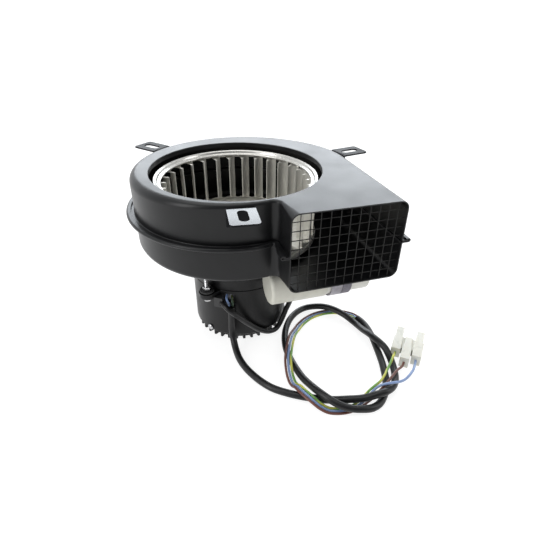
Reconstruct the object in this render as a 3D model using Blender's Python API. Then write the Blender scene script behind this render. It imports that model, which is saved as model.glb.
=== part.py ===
"""Centrifugal blower: scroll housing, squirrel-cage wheel, capacitor motor and its supply cable.

Metres, +Z up. The fan axis is the Z axis, the origin is the middle of the motor's end face, and
the outlet faces -Y. The blower stands on its motor with the inlet on top.
"""
import math

import bmesh
import bpy
from mathutils import Matrix, Vector

# ---- driving dimensions -------------------------------------------------------------------
GAP = 0.0003                        # between pieces that touch
SHEET = 0.0010                      # housing sheet

# wheel
WHEEL_RADIUS = 0.0748
RING_WIDTH = 0.0069                 # of the wheel's top ring
BLADE_DEPTH = 0.0108                # from the wheel's outside to a blade's inner edge
INLET_CLEARANCE = 0.0027            # round the wheel at the inlet
CUTOFF_CLEARANCE = 0.0074           # from the wheel to the scroll's outer face at the cutoff

# housing
HOUSING_FLOOR = 0.0950              # underside of the housing above the motor's end face
HOUSING_HEIGHT = 0.0693
INLET_RADIUS = WHEEL_RADIUS + INLET_CLEARANCE
INLET_LIP_RADIUS = 0.0009
INLET_LIP_DEPTH = 0.0045
SCROLL_START_RADIUS = WHEEL_RADIUS + CUTOFF_CLEARANCE
SCROLL_START_ANGLE = math.radians(-85)
SCROLL_GROWTH = 0.0068              # radius gained for each radian, clockwise from above
SCROLL_END_ANGLE = math.radians(-330)
CUTOFF_RADIUS = 0.0060              # fillet between the scroll and the duct
OUTLET_LEFT = 0.0145                # outer faces of the duct's side walls
OUTLET_RIGHT = 0.1116
OUTLET_Y = -0.1097
FOLD_SMALL = 0.0025                 # edge fold at the cutoff
FOLD_LARGE = 0.0075                 # edge fold everywhere else
FOLD_RISE_ANGLE = math.radians(84)  # the fold grows over this much of the scroll
MOTOR_OPENING_RADIUS = 0.0165
HOLE_STEPS = 40

# seam between the two shells
SEAM_DEPTH = 0.0364                 # below the housing's top
FLANGE_WIDTH = 0.0073
FLANGE_NARROW = 0.0052              # where the flange turns round the cutoff fillet
FLANGE_TAPER = 0.015                # length over which it narrows
HEM_RADIUS = 0.0018                 # the lower flange is folded over the upper one

# outlet grille
GRILLE_WIRE = 0.0012
GRILLE_COLUMNS = 11
GRILLE_ROWS = 8
GRILLE_SETBACK = 0.0015

# mounting ears
EAR_WIDTH = 0.0225
EAR_LENGTH = 0.0295
EAR_SHEET = 0.0015
EAR_LEG = 0.0150
EAR_DROP = 0.0022                   # ear's top face below the housing's top
EAR_CORNER = 0.0030
EAR_SLOT_WIDTH = 0.0077
EAR_SLOT_LENGTH = 0.0185
EAR_ANGLES = {"ear_front": -101.0, "ear_left": 125.6, "ear_right": 11.5}

# rest of the wheel
WHEEL_HEIGHT = 0.0576
WHEEL_DROP = 0.0067                 # wheel's top below the housing's top
WHEEL_SHEET = 0.0008
RING_INNER_RADIUS = WHEEL_RADIUS - RING_WIDTH
RING_SKIRT = 0.0071
RING_STEP = 0.0033
BLADE_COUNT = 30
BLADE_SHEET = 0.0008
BLADE_INNER_RADIUS = WHEEL_RADIUS - BLADE_DEPTH
BLADE_SWEEP = math.radians(5.0)     # the outer edge leads the inner one
BLADE_CAMBER = 0.0016
BAND_HEIGHT = 0.0056
SKIRT_HEIGHT = 0.0046
WHEEL_STEPS = 48

# hub
HUB_FLANGE_RADIUS = 0.0180
HUB_FLANGE = 0.0027
HUB_RADIUS = 0.0110
HUB_HEIGHT = 0.0144
HUB_SPIGOT = 0.0034
RIVET_CIRCLE = 0.0147
RIVET_RADIUS = 0.0016
RIVET_HEAD_RADIUS = 0.0029
RIVET_HEAD = 0.0012
RIVET_COUNT = 4
HUB_SCREW_RADIUS = 0.0020

# motor
SHAFT_RADIUS = 0.0040
MOTOR_RADIUS = 0.0473
MOTOR_WALL = 0.0027
COVER_JOINT = 0.0600                # height of the joint between the two covers
UPPER_COVER_TOP = 0.0915
UPPER_BOSS_RADIUS = 0.0145
UPPER_BOSS_TOP = 0.0982
FIN_COUNT = 36
FIN_TIP_RADIUS = MOTOR_RADIUS - 0.0018
FIN_ROOT_RADIUS = MOTOR_RADIUS - 0.0061
FIN_HEIGHT = 0.0060
FIN_THICKNESS = 0.0036
MOTOR_FLOOR = 0.0030
BEARING_RADIUS = 0.0110
BEARING_WIDTH = 0.0070
STATOR_BOTTOM = 0.0360
WINDING_HEIGHT = 0.0157
ROTOR_RADIUS = 0.0240
AIR_GAP = 0.0006
MOTOR_STEPS = 36

# motor suspension: three lugs, rubber grommets and hanging bolts
LUG_ANGLES = (-138.0, -18.0, 102.0)
LUG_CIRCLE = MOTOR_RADIUS + 0.0070
LUG_RADIUS = 0.0078
LUG_THICKNESS = 0.0040
GROMMET_RADIUS = 0.0068
GROMMET_NECK = 0.0047
GROMMET_FLANGE = 0.0020
BOLT_RADIUS = 0.0020
HEX_RADIUS = 0.0040
HEX_HEIGHT = 0.0030
RIM_SCREW_ANGLES = (-144.0, -24.0, 96.0)
RIM_SCREW_HEIGHT = 0.0100
RIM_SCREW_RADIUS = 0.0015
RIM_SCREW_HEAD = 0.0030

# cable entry, with a saddle beside it that holds the capacitor's lead
ENTRY_ANGLE = -116.0
ENTRY_WIDTH = 0.0096
ENTRY_BOTTOM = 0.0475
ENTRY_TOP = 0.0570
SADDLE_ANGLE = -124.0
SADDLE_LUG_CLEARANCE = 0.00034      # from the saddle to the grommet beside it
SADDLE_RIGHT = 0.0025
SADDLE_BOTTOM = 0.0450
SADDLE_TOP = 0.0555
SADDLE_REACH = 0.0070
CABLE_RADIUS = 0.0033
LEAD_RADIUS = 0.0026
WIRE_RADIUS = 0.00115
WIRE_PITCH = 0.0027
CABLE_STEP = 0.0160                 # spacing of the points along the cable's tube
LEAD_STEP = 0.0100
WIRE_STEP = 0.0075

# capacitor, lying under the duct
CAPACITOR_Y = -0.0654
CAN_RADIUS = 0.0162
CAN_LEFT = 0.0182
CAN_RIGHT = 0.1046
BOOT_WALL = 0.0008
BOOT_RADIUS = CAN_RADIUS + GAP + BOOT_WALL
BOOT_LEFT = 0.0098
BOOT_RIGHT = 0.0620
NOZZLE_X = 0.0380
NOZZLE_ANGLE = math.radians(33)     # from straight down, towards the motor
NOZZLE_RADIUS = 0.0040
NOZZLE_LENGTH = 0.0047
COLLAR_THICKNESS = 0.0015
BAND_LEFT = 0.0660
BAND_RIGHT = 0.0765
PAD_RIGHT = 0.0855
BRACKET_HALF = 0.0260
BRACKET_SHEET = 0.0015
CAPACITOR_Z = HOUSING_FLOOR - BRACKET_SHEET - COLLAR_THICKNESS - CAN_RADIUS - 3 * GAP
BRACKET_SCREW_OFFSET = 0.0215

# connector: three poles side by side, lying on the ground
CONNECTOR_PLACE = (0.1415, -0.1085)
CONNECTOR_TURN = math.radians(50)
CONNECTOR_HEIGHT = 0.0115
POLE_PITCH = 0.0100
POLE_WIDTH = 0.0086
POLE_SPANS = ((-0.0130, 0.0230), (-0.0240, 0.0090), (-0.0170, 0.0220))
WEB_SPAN = (-0.0080, 0.0085)
WEB_BOTTOM = 0.0020
WEB_TOP = 0.0092
CAVITY_WIDTH = 0.0044
CAVITY_FLOOR = -0.0090
TERMINAL_RADIUS = 0.0014
TERMINAL_SPAN = (-0.0085, 0.0060)

# ---- routes, chosen by hand (millimetres) ---------------------------------------------------
CABLE_ROUTE = (
    (-20.4, -47.8, 46.0), (-20.4, -47.9, 40.0), (-20.5, -48.1, 34.0), (-20.7, -48.5, 28.0),
    (-21.0, -49.3, 21.0), (-21.0, -51.4, 14.8), (-20.9, -55.0, 9.8), (-20.8, -60.2, 6.1),
    (-20.6, -66.8, 4.1), (-20.1, -75.0, 3.4), (-18.4, -84.4, 3.4), (-15.2, -94.6, 3.4),
    (-9.2, -107.4, 3.4), (-1.4, -118.8, 3.4), (8.4, -127.4, 3.4), (20.0, -135.2, 3.4),
    (32.0, -141.8, 3.4), (38.2, -144.9, 3.5), (46.0, -148.5, 4.6), (56.0, -152.4, 6.2),
    (68.5, -156.2, 7.6), (80.0, -158.2, 10.5), (89.9, -157.6, 10.9), (98.9, -152.8, 8.9),
    (106.9, -144.1, 5.7), (112.8, -133.2, 4.2), (116.4, -122.5, 4.3), (117.6, -114.5, 6.0),
    (117.0, -107.0, 9.2), (114.9, -100.2, 10.8), (112.9, -92.0, 10.7), (111.8, -83.0, 9.3),
    (110.9, -73.5, 6.6), (110.2, -63.0, 4.4), (107.9, -52.6, 4.0), (103.2, -43.2, 5.5),
    (96.4, -34.2, 6.8), (88.7, -26.3, 6.7), (79.6, -20.3, 5.0), (68.3, -18.0, 3.6),
    (56.4, -22.6, 3.4), (45.3, -32.4, 3.4), (36.2, -46.0, 3.4), (30.2, -60.5, 3.4),
    (26.9, -75.0, 3.4), (26.3, -89.3, 3.4), (27.2, -103.4, 3.5), (28.7, -117.4, 4.8),
    (31.0, -130.4, 8.1), (34.0, -141.6, 10.7), (39.4, -151.0, 10.3), (46.2, -157.7, 8.3),
    (54.6, -162.4, 6.6), (63.4, -165.0, 5.8), (72.4, -165.4, 4.2), (81.4, -162.4, 3.4),
    (88.8, -156.3, 3.4), (95.2, -149.0, 3.4), (100.3, -139.8, 3.4), (104.4, -129.5, 3.4),
    (108.1, -118.6, 3.4), (111.2, -106.9, 3.4), (114.0, -95.1, 3.4), (116.6, -83.5, 3.4),
    (118.2, -72.0, 3.4), (118.2, -60.6, 3.4), (115.9, -50.5, 3.4),
)
LEAD_ROUTE = (
    (-28.8, -44.2, 49.7), (-28.1, -45.5, 49.5), (-27.0, -48.9, 49.0), (-24.9, -52.7, 47.4),
    (-21.0, -55.5, 44.2), (-15.6, -55.4, 38.0), (-8.8, -53.6, 29.6), (-1.6, -52.0, 21.4),
    (5.1, -50.8, 14.6), (11.9, -49.2, 9.2), (18.9, -46.8, 5.4), (26.2, -43.4, 4.2),
    (32.0, -39.2, 7.4), (36.4, -36.4, 13.6), (39.4, -36.2, 21.8), (41.0, -38.9, 30.0),
    (40.8, -43.2, 38.0), (39.5, -47.3, 46.0), (38.1, -50.4, 51.7), (38.0, -53.05, 55.85),
)
# the three wires run side by side from the sheath's end
BUNDLE_ROUTE = (
    (115.7, -49.4, 3.2), (113.6, -42.6, 2.0), (108.4, -36.6, 1.25), (101.3, -32.2, 1.25),
    (93.4, -29.6, 1.25), (84.4, -28.9, 1.25), (74.4, -30.4, 1.25), (64.3, -34.3, 1.25),
    (54.4, -40.9, 1.3), (46.8, -48.9, 2.2), (41.6, -56.2, 5.6), (37.0, -63.4, 8.4),
    (32.6, -71.0, 8.6), (28.8, -78.6, 8.6), (25.2, -86.4, 8.6), (22.2, -94.0, 8.5),
    (20.2, -101.4, 6.4), (19.2, -108.6, 3.0), (19.0, -115.6, 1.5), (19.2, -121.8, 3.4),
    (19.8, -127.4, 7.2), (21.0, -133.4, 8.7), (23.4, -139.4, 8.7), (27.0, -145.4, 7.2),
    (31.8, -150.8, 4.0), (37.4, -154.8, 1.6), (43.6, -157.4, 1.25), (50.8, -158.9, 1.25),
    (58.4, -158.7, 1.25), (66.0, -156.6, 1.25), (71.6, -154.2, 1.25),
)
WIRE_TAILS = {
    "wire_brown": ((77.4, -154.9, 1.4), (82.2, -153.3, 3.0), (86.8, -151.9, 6.4),
                   (92.0, -150.2, 9.4), (98.8, -146.6, 11.2), (106.0, -141.6, 10.9),
                   (112.3, -137.2, 9.9), (117.8, -134.0, 8.2), (122.0, -131.2, 6.9),
                   (125.8, -127.2, 6.2)),
    "wire_blue": ((75.9, -151.8, 1.4), (80.4, -149.6, 3.2), (84.2, -149.0, 6.9),
                  (87.8, -150.6, 11.6), (92.6, -153.2, 15.0), (98.7, -154.0, 15.2),
                  (106.0, -152.6, 12.8), (113.4, -149.4, 10.3), (120.6, -145.0, 9.0),
                  (127.8, -139.6, 7.6), (133.4, -133.8, 6.6), (137.95, -128.25, 6.2)),
    "wire_green_yellow": ((74.6, -148.9, 1.4), (80.0, -146.4, 3.0), (86.0, -145.4, 6.6),
                          (92.0, -143.8, 9.0), (98.9, -138.6, 9.2), (105.2, -132.6, 9.2),
                          (111.2, -127.2, 9.8), (115.4, -123.0, 10.6), (119.0, -119.4, 10.0),
                          (122.2, -116.0, 7.4), (125.25, -112.35, 6.2)),
}
WIRE_SLOTS = {"wire_brown": -1, "wire_blue": 0, "wire_green_yellow": 1}
# short wires from the cable's end into the motor's entry
MOTOR_LEADS = {
    "motor_lead_blue": ((-21.8, -47.2, 46.3), (-22.4, -47.0, 49.0), (-23.5, -45.9, 51.8),
                        (-23.7, -43.6, 54.0), (-22.1, -39.9, 54.6)),
    "motor_lead_green": ((-19.1, -48.3, 46.3), (-18.8, -48.2, 49.2), (-18.7, -46.8, 52.0),
                         (-18.3, -44.6, 53.8), (-17.8, -41.9, 54.2)),
}

# ---- helpers --------------------------------------------------------------------------------


def clear_scene():
    for thing in list(bpy.data.objects):
        bpy.data.objects.remove(thing, do_unlink=True)


def finish(name, colour, roughness, metallic=0.0):
    """A plain Principled material."""
    material = bpy.data.materials.new(name)
    material.use_nodes = True
    shader = material.node_tree.nodes["Principled BSDF"]
    shader.inputs["Base Color"].default_value = (*colour, 1.0)
    shader.inputs["Roughness"].default_value = roughness
    shader.inputs["Metallic"].default_value = metallic
    return material


def place(name, bm, material, location=(0, 0, 0), rotation=(0, 0, 0), parent=None):
    """Turn a bmesh into a named object with its faces pointing out."""
    bmesh.ops.recalc_face_normals(bm, faces=bm.faces)
    mesh = bpy.data.meshes.new(name)
    bm.to_mesh(mesh)
    bm.free()
    mesh.shade_smooth()
    mesh.set_sharp_from_angle(angle=math.radians(35))
    if material:
        mesh.materials.append(material)
    thing = bpy.data.objects.new(name, mesh)
    bpy.context.collection.objects.link(thing)
    thing.location = location
    thing.rotation_euler = rotation
    thing.parent = parent
    return thing


def combine(target, tool, operation):
    """Join a tool shape to a piece, or cut it away. The tool itself is left out of the part."""
    tool.hide_render = True
    tool.display_type = "WIRE"
    tool.parent = target.parent
    step = target.modifiers.new(operation.lower() + "_" + tool.name, "BOOLEAN")
    step.operation = operation
    step.solver = "EXACT"
    step.object = tool


def cut(target, tool):
    combine(target, tool, "DIFFERENCE")


def join(target, tool):
    combine(target, tool, "UNION")


def polar(radius, degrees, height=0.0):
    angle = math.radians(degrees)
    return Vector((radius * math.cos(angle), radius * math.sin(angle), height))


def turned(outline, steps):
    """Solid of revolution about Z. A closed outline of (radius, height), or one from axis to axis."""
    bm = bmesh.new()
    rings = []
    for radius, height in outline:
        if radius == 0:
            rings.append([bm.verts.new((0, 0, height))])
            continue
        angles = [2 * math.pi * step / steps for step in range(steps)]
        rings.append([bm.verts.new((radius * math.cos(a), radius * math.sin(a), height)) for a in angles])
    closing = rings[:1] if outline[0][0] else []
    for near, far in zip(rings, rings[1:] + closing):
        for step in range(steps):
            following = (step + 1) % steps
            corners = [near[step % len(near)], near[following % len(near)],
                       far[following % len(far)], far[step % len(far)]]
            bm.faces.new(list(dict.fromkeys(corners)))
    return bm


def prism(outline, bottom, top, bm=None):
    """Upright prism on a flat outline of (x, y)."""
    bm = bm or bmesh.new()
    low = [bm.verts.new((x, y, bottom)) for x, y in outline]
    high = [bm.verts.new((x, y, top)) for x, y in outline]
    bm.faces.new(low[::-1])
    bm.faces.new(high)
    for step in range(len(outline)):
        following = (step + 1) % len(outline)
        bm.faces.new((low[step], low[following], high[following], high[step]))
    return bm


def box(low, high, bm=None):
    corners = ((low[0], low[1]), (high[0], low[1]), (high[0], high[1]), (low[0], high[1]))
    return prism(corners, low[2], high[2], bm)


def stadium(length, width, steps=6):
    """Slot outline along X, centred."""
    reach = (length - width) / 2
    outline = []
    for side in (1, -1):
        for step in range(steps + 1):
            angle = math.pi * (step / steps - 0.5) + (0 if side > 0 else math.pi)
            outline.append((side * reach + width / 2 * math.cos(angle), width / 2 * math.sin(angle)))
    return outline


def smooth_line(points, spacing):
    """Points at even spacing along a smooth curve through the route's own points."""
    points = [Vector(point) for point in points]
    ends = [2 * points[0] - points[1]] + points + [2 * points[-1] - points[-2]]
    dense = []
    for a, b, c, d in zip(ends, ends[1:], ends[2:], ends[3:]):
        for step in range(24):
            t = step / 24
            dense.append(0.5 * (2 * b + (c - a) * t + (2 * a - 5 * b + 4 * c - d) * t ** 2
                                + (3 * b - a - 3 * c + d) * t ** 3))
    dense.append(points[-1])
    lengths = [0.0]
    for before, after in zip(dense, dense[1:]):
        lengths.append(lengths[-1] + (after - before).length)
    count = max(2, round(lengths[-1] / spacing))
    line, spot = [], 0
    for step in range(count + 1):
        wanted = lengths[-1] * step / count
        while spot < len(dense) - 2 and lengths[spot + 1] < wanted:
            spot += 1
        share = (wanted - lengths[spot]) / (lengths[spot + 1] - lengths[spot])
        line.append(dense[spot].lerp(dense[spot + 1], min(1.0, share)))
    return line


def tube(name, points, radius, spacing, material):
    """Round tube along a route given in millimetres."""
    curve = bpy.data.curves.new(name, "CURVE")
    curve.dimensions = "3D"
    curve.bevel_depth = radius
    curve.bevel_resolution = 2
    curve.use_fill_caps = True
    line = smooth_line([Vector(point) / 1000 for point in points], spacing)
    spline = curve.splines.new("POLY")
    spline.points.add(len(line) - 1)
    for spot, point in zip(spline.points, line):
        spot.co = (*point, 1.0)
    curve.materials.append(material)
    thing = bpy.data.objects.new(name, curve)
    bpy.context.collection.objects.link(thing)
    return thing


# ---- housing --------------------------------------------------------------------------------


def scroll_point(angle):
    """A point of the scroll's outer face, and the direction that points out of it."""
    radius = SCROLL_START_RADIUS + SCROLL_GROWTH * (SCROLL_START_ANGLE - angle)
    outward = Vector((math.cos(angle), math.sin(angle)))
    along = Vector((-math.sin(angle), math.cos(angle)))
    return radius * outward, (radius * outward + SCROLL_GROWTH * along).normalized()


def cutoff_angle():
    """Where the cutoff fillet, tangent to the duct's left wall, meets the scroll."""
    low, high = math.radians(-100), math.radians(-60)
    for _ in range(50):
        middle = (low + high) / 2
        point, normal = scroll_point(middle)
        if point.x + CUTOFF_RADIUS * normal.x < OUTLET_LEFT - CUTOFF_RADIUS:
            low = middle
        else:
            high = middle
    return low


def side_bend():
    """Centre and radius of the arc that leads from the scroll's end into the duct's right wall."""
    point, normal = scroll_point(SCROLL_END_ANGLE)
    radius = (OUTLET_RIGHT - point.x) / (1 - normal.x)
    return point - radius * normal, radius


def wall_path():
    """The side wall in plan, from the outlet's left edge round the scroll to its right edge.

    Each entry is the outer face's point, its outward direction, the fold radius of the edges
    there, and the width of the seam flange.
    """
    start = cutoff_angle()
    point, normal = scroll_point(start)
    fillet = point + CUTOFF_RADIUS * normal
    bend, bend_radius = side_bend()
    path = []

    def add(place_, direction, fold, from_fillet):
        share = min(1.0, from_fillet / FLANGE_TAPER)
        width = FLANGE_NARROW + (FLANGE_WIDTH - FLANGE_NARROW) * share ** 2 * (3 - 2 * share)
        path.append((Vector(place_), Vector(direction), fold, width))

    for step in range(4):
        y = OUTLET_Y + (fillet.y - OUTLET_Y) * step / 4
        fold = FOLD_LARGE + (FOLD_SMALL - FOLD_LARGE) * step / 4
        add((OUTLET_LEFT, y), (-1, 0), fold, fillet.y - y)
    sweep = math.atan2(-normal.y, -normal.x)
    for step in range(5):
        angle = sweep * step / 5
        direction = Vector((math.cos(angle), math.sin(angle)))
        add(fillet + CUTOFF_RADIUS * direction, -direction, FOLD_SMALL, 0.0)
    scroll_steps = 30
    for step in range(scroll_steps):
        angle = start + (SCROLL_END_ANGLE - start) * step / scroll_steps
        share = min(1.0, (start - angle) / FOLD_RISE_ANGLE)
        place_, direction = scroll_point(angle)
        fold = FOLD_SMALL + (FOLD_LARGE - FOLD_SMALL) * share
        add(place_, direction, fold, SCROLL_START_RADIUS * (start - angle))
    _, end_normal = scroll_point(SCROLL_END_ANGLE)
    final = math.atan2(end_normal.y, end_normal.x)
    for step in range(4):
        angle = final * (1 - step / 4)
        direction = Vector((math.cos(angle), math.sin(angle)))
        add(bend + bend_radius * direction, direction, FOLD_LARGE, 1.0)
    for step in range(3):
        add((OUTLET_RIGHT, bend.y + (OUTLET_Y - bend.y) * step / 2), (1, 0), FOLD_LARGE, 1.0)
    return path


def housing_shell(name, rows, hole_rows, facing, material):
    """One pressed shell: a sheet swept along the side wall, a flat plate with a round hole, and
    the hole's own edge. The rows are (outward, height) pairs for a path entry, ending at the plate."""
    bm = bmesh.new()
    grid = []
    for place_, direction, fold, width in wall_path():
        line = []
        for outward, height in rows(fold, width):
            spot = place_ + outward * direction
            line.append(bm.verts.new((spot.x, spot.y, height)))
        grid.append(line)
    for near, far in zip(grid, grid[1:]):
        for step in range(len(near) - 1):
            bm.faces.new((near[step], far[step], far[step + 1], near[step + 1]))
    rings = []
    for radius, height in hole_rows:
        spots = [polar(radius, 360 * step / HOLE_STEPS, height) for step in range(HOLE_STEPS)]
        rings.append([bm.verts.new(spot) for spot in spots])
    for near, far in zip(rings, rings[1:]):
        for step in range(HOLE_STEPS):
            following = (step + 1) % HOLE_STEPS
            bm.faces.new((near[step], near[following], far[following], far[step]))
    rim = [line[-1] for line in grid]
    edges = [bm.edges.get((a, b)) for a, b in zip(rim, rim[1:])]
    edges.append(bm.edges.new((rim[-1], rim[0])))
    hole = rings[0]
    for step in range(HOLE_STEPS):
        pair = (hole[step], hole[(step + 1) % HOLE_STEPS])
        edges.append(bm.edges.get(pair) or bm.edges.new(pair))
    filled = bmesh.ops.triangle_fill(bm, use_beauty=True, edges=edges, normal=(0, 0, facing))
    bmesh.ops.recalc_face_normals(bm, faces=bm.faces)
    plate = [face for face in filled["geom"] if isinstance(face, bmesh.types.BMFace)]
    mesh = bpy.data.meshes.new(name)
    if plate[0].normal.z * facing < 0:
        bmesh.ops.reverse_faces(bm, faces=bm.faces)
    bm.to_mesh(mesh)
    bm.free()
    mesh.shade_smooth()
    mesh.set_sharp_from_angle(angle=math.radians(35))
    mesh.materials.append(material)
    shell = bpy.data.objects.new(name, mesh)
    bpy.context.collection.objects.link(shell)
    thicken = shell.modifiers.new("sheet", "SOLIDIFY")
    thicken.thickness = SHEET
    thicken.offset = -1
    thicken.use_even_offset = True
    thicken.use_quality_normals = True
    return shell


def housing_top():
    return HOUSING_FLOOR + HOUSING_HEIGHT


def fold_rows(fold, plate_height, facing):
    """The rounded edge from the wall into the plate."""
    rows = []
    for step in range(3):
        angle = math.radians(90 * step / 2)
        rows.append((-fold * (1 - math.cos(angle)), plate_height - facing * fold * (1 - math.sin(angle))))
    return rows


def upper_shell(material):
    top = housing_top()
    seam = top - SEAM_DEPTH + GAP / 2 + SHEET

    def rows(fold, width):
        edge = width - HEM_RADIUS - GAP
        return [(edge, seam), (0.0, seam)] + fold_rows(fold, top, 1)

    lip = INLET_LIP_RADIUS
    hole_rows = [(INLET_RADIUS + lip, top), (INLET_RADIUS, top - lip), (INLET_RADIUS, top - INLET_LIP_DEPTH)]
    return housing_shell("scroll_upper_shell", rows, hole_rows, 1, material)


def lower_shell(material):
    seam = housing_top() - SEAM_DEPTH - GAP / 2 - SHEET

    def rows(fold, width):
        centre = width - HEM_RADIUS
        hem = [(centre - 0.0022, seam + 2 * HEM_RADIUS)]
        for step in range(4):
            angle = math.radians(90 - 60 * step)
            hem.append((centre + HEM_RADIUS * math.cos(angle), seam + HEM_RADIUS * (1 + math.sin(angle))))
        return hem + [(0.0, seam)] + fold_rows(fold, HOUSING_FLOOR, -1)

    hole_rows = [(MOTOR_OPENING_RADIUS, HOUSING_FLOOR)]
    return housing_shell("scroll_lower_shell", rows, hole_rows, -1, material)


def outlet_grille(material):
    """Square wire mesh set just inside the outlet, each wire running from wall to wall."""
    inset = SHEET + GAP
    half = GRILLE_WIRE / 2

    def lines(low, high, count):
        stops = [low + inset]
        for step in range(1, count + 1):
            centre = low + (high - low) * step / (count + 1)
            stops += [centre - half, centre + half]
        return stops + [high - inset]

    xs = lines(OUTLET_LEFT, OUTLET_RIGHT, GRILLE_COLUMNS)
    zs = lines(HOUSING_FLOOR, housing_top(), GRILLE_ROWS)
    bm = bmesh.new()
    spots = {}

    def corner(column, row):
        if (column, row) not in spots:
            spots[column, row] = bm.verts.new((xs[column], OUTLET_Y + GRILLE_SETBACK, zs[row]))
        return spots[column, row]

    for column in range(len(xs) - 1):
        for row in range(len(zs) - 1):
            if column % 2 or row % 2:
                bm.faces.new((corner(column, row), corner(column + 1, row),
                              corner(column + 1, row + 1), corner(column, row + 1)))
    front = list(bm.faces)
    deep = bmesh.ops.extrude_face_region(bm, geom=front)
    moved = [item for item in deep["geom"] if isinstance(item, bmesh.types.BMVert)]
    bmesh.ops.translate(bm, verts=moved, vec=(0, GRILLE_WIRE, 0))
    return place("outlet_grille", bm, material)


def wall_at(degrees):
    """The side wall's point and outward direction at a polar angle, on the scroll or the bend."""
    angle = math.radians(degrees)
    scroll_angle = angle - 2 * math.pi if angle > SCROLL_START_ANGLE else angle
    if scroll_angle >= SCROLL_END_ANGLE:
        return scroll_point(scroll_angle)
    bend, radius = side_bend()
    along = Vector((math.cos(angle), math.sin(angle)))
    reach = along.dot(bend)
    point = along * (reach + math.sqrt(reach ** 2 - bend.length_squared + radius ** 2))
    return point, (point - bend).normalized()


def ear(name, degrees, material):
    """L-shaped bracket, its leg against the side wall, its plate level and slotted."""
    point, normal = wall_at(degrees)
    spot = point + GAP * normal
    top = housing_top() - EAR_DROP
    half = EAR_WIDTH / 2
    profile = ((0.0, -EAR_LEG), (EAR_SHEET, -EAR_LEG), (EAR_SHEET, -EAR_SHEET),
               (EAR_LENGTH, -EAR_SHEET), (EAR_LENGTH, 0.0), (EAR_SHEET * 0.6, 0.0), (0.0, -EAR_SHEET * 0.6))
    bm = bmesh.new()
    near = [bm.verts.new((x, -half, z)) for x, z in profile]
    far = [bm.verts.new((x, half, z)) for x, z in profile]
    bm.faces.new(near)
    bm.faces.new(far[::-1])
    for step in range(len(profile)):
        following = (step + 1) % len(profile)
        bm.faces.new((near[step], far[step], far[following], near[following]))
    corners = [bm.edges.get((side[3], side[4])) for side in (near, far)]
    bmesh.ops.bevel(bm, geom=corners, offset=EAR_CORNER, segments=3, profile=0.5, affect="EDGES")
    turn = (0, 0, math.atan2(normal.y, normal.x))
    bracket = place(name, bm, material, (spot.x, spot.y, top), turn)
    centre = spot + (EAR_LENGTH / 2) * normal
    slot = place(name + "_slot", prism(stadium(EAR_SLOT_LENGTH, EAR_SLOT_WIDTH), -0.004, 0.004), None,
                 (centre.x, centre.y, top), turn)
    cut(bracket, slot)
    return bracket


# ---- wheel ----------------------------------------------------------------------------------


def wheel_top():
    return housing_top() - WHEEL_DROP


def plate_top():
    """Upper face of the wheel's back plate."""
    return wheel_top() - WHEEL_HEIGHT + SKIRT_HEIGHT


def ring_inner_bottom():
    return wheel_top() - RING_STEP - WHEEL_SHEET


def top_ring(material, parent):
    top = wheel_top()
    skin = WHEEL_SHEET
    step_radius = (WHEEL_RADIUS + RING_INNER_RADIUS) / 2
    outline = [
        (WHEEL_RADIUS, top - RING_SKIRT), (WHEEL_RADIUS, top), (step_radius, top),
        (step_radius - skin, top - RING_STEP * 0.7), (RING_INNER_RADIUS, top - RING_STEP),
        (RING_INNER_RADIUS, top - RING_STEP - skin), (step_radius - skin * 0.2, top - RING_STEP * 0.7 - skin),
        (step_radius + skin, top - skin), (WHEEL_RADIUS - skin, top - skin), (WHEEL_RADIUS - skin, top - RING_SKIRT),
    ]
    return place("impeller_top_ring", turned(outline, WHEEL_STEPS), material, parent=parent)


def blade_section(turn):
    """One blade in plan: a thin curved strip, hollow towards the way the wheel turns (clockwise)."""
    outer_radius = WHEEL_RADIUS - WHEEL_SHEET - GAP - BLADE_SHEET * 0.6
    start = polar(BLADE_INNER_RADIUS, math.degrees(turn)).to_2d()
    end = polar(outer_radius, math.degrees(turn - BLADE_SWEEP)).to_2d()
    chord = end - start
    back = Vector((-chord.y, chord.x)).normalized()
    steps = 2
    front_side, back_side = [], []
    for step in range(steps + 1):
        share = step / steps
        bow = BLADE_CAMBER * 4 * share * (1 - share)
        middle = start + chord * share + back * bow
        front_side.append(middle - back * BLADE_SHEET / 2)
        back_side.append(middle + back * BLADE_SHEET / 2)
    return [tuple(point) for point in front_side + back_side[::-1]]


def blade_strip(material, parent):
    """All blades, lanced from one strip that is whole along its two edges."""
    low = plate_top() + GAP
    high = ring_inner_bottom() - GAP
    outer = WHEEL_RADIUS - WHEEL_SHEET - GAP
    inner = outer - BLADE_SHEET
    bands = turned([(inner, low), (outer, low), (outer, low + BAND_HEIGHT), (inner, low + BAND_HEIGHT)], WHEEL_STEPS)
    strip = place("impeller_blade_strip", bands, material, parent=parent)
    upper = [(inner, high - BAND_HEIGHT), (outer, high - BAND_HEIGHT), (outer, high), (inner, high)]
    upper_band = place("upper_band", turned(upper, WHEEL_STEPS), None)
    blades = bmesh.new()
    for count in range(BLADE_COUNT):
        turn = 2 * math.pi * count / BLADE_COUNT
        prism(blade_section(turn), low + BAND_HEIGHT / 2, high - BAND_HEIGHT / 2, blades)
    join(strip, place("blades", blades, None))
    join(strip, upper_band)
    return strip


def back_plate(material, parent):
    top = plate_top()
    bottom = wheel_top() - WHEEL_HEIGHT
    skin = WHEEL_SHEET
    bore = HUB_RADIUS + 0.0002 + GAP
    outline = [(bore, top - skin), (WHEEL_RADIUS - skin, top - skin), (WHEEL_RADIUS - skin, bottom),
               (WHEEL_RADIUS, bottom), (WHEEL_RADIUS, top), (bore, top)]
    plate = place("impeller_backplate", turned(outline, WHEEL_STEPS), material, parent=parent)
    cut(plate, rivet_holes("plate_rivet_holes"))
    return plate


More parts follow.
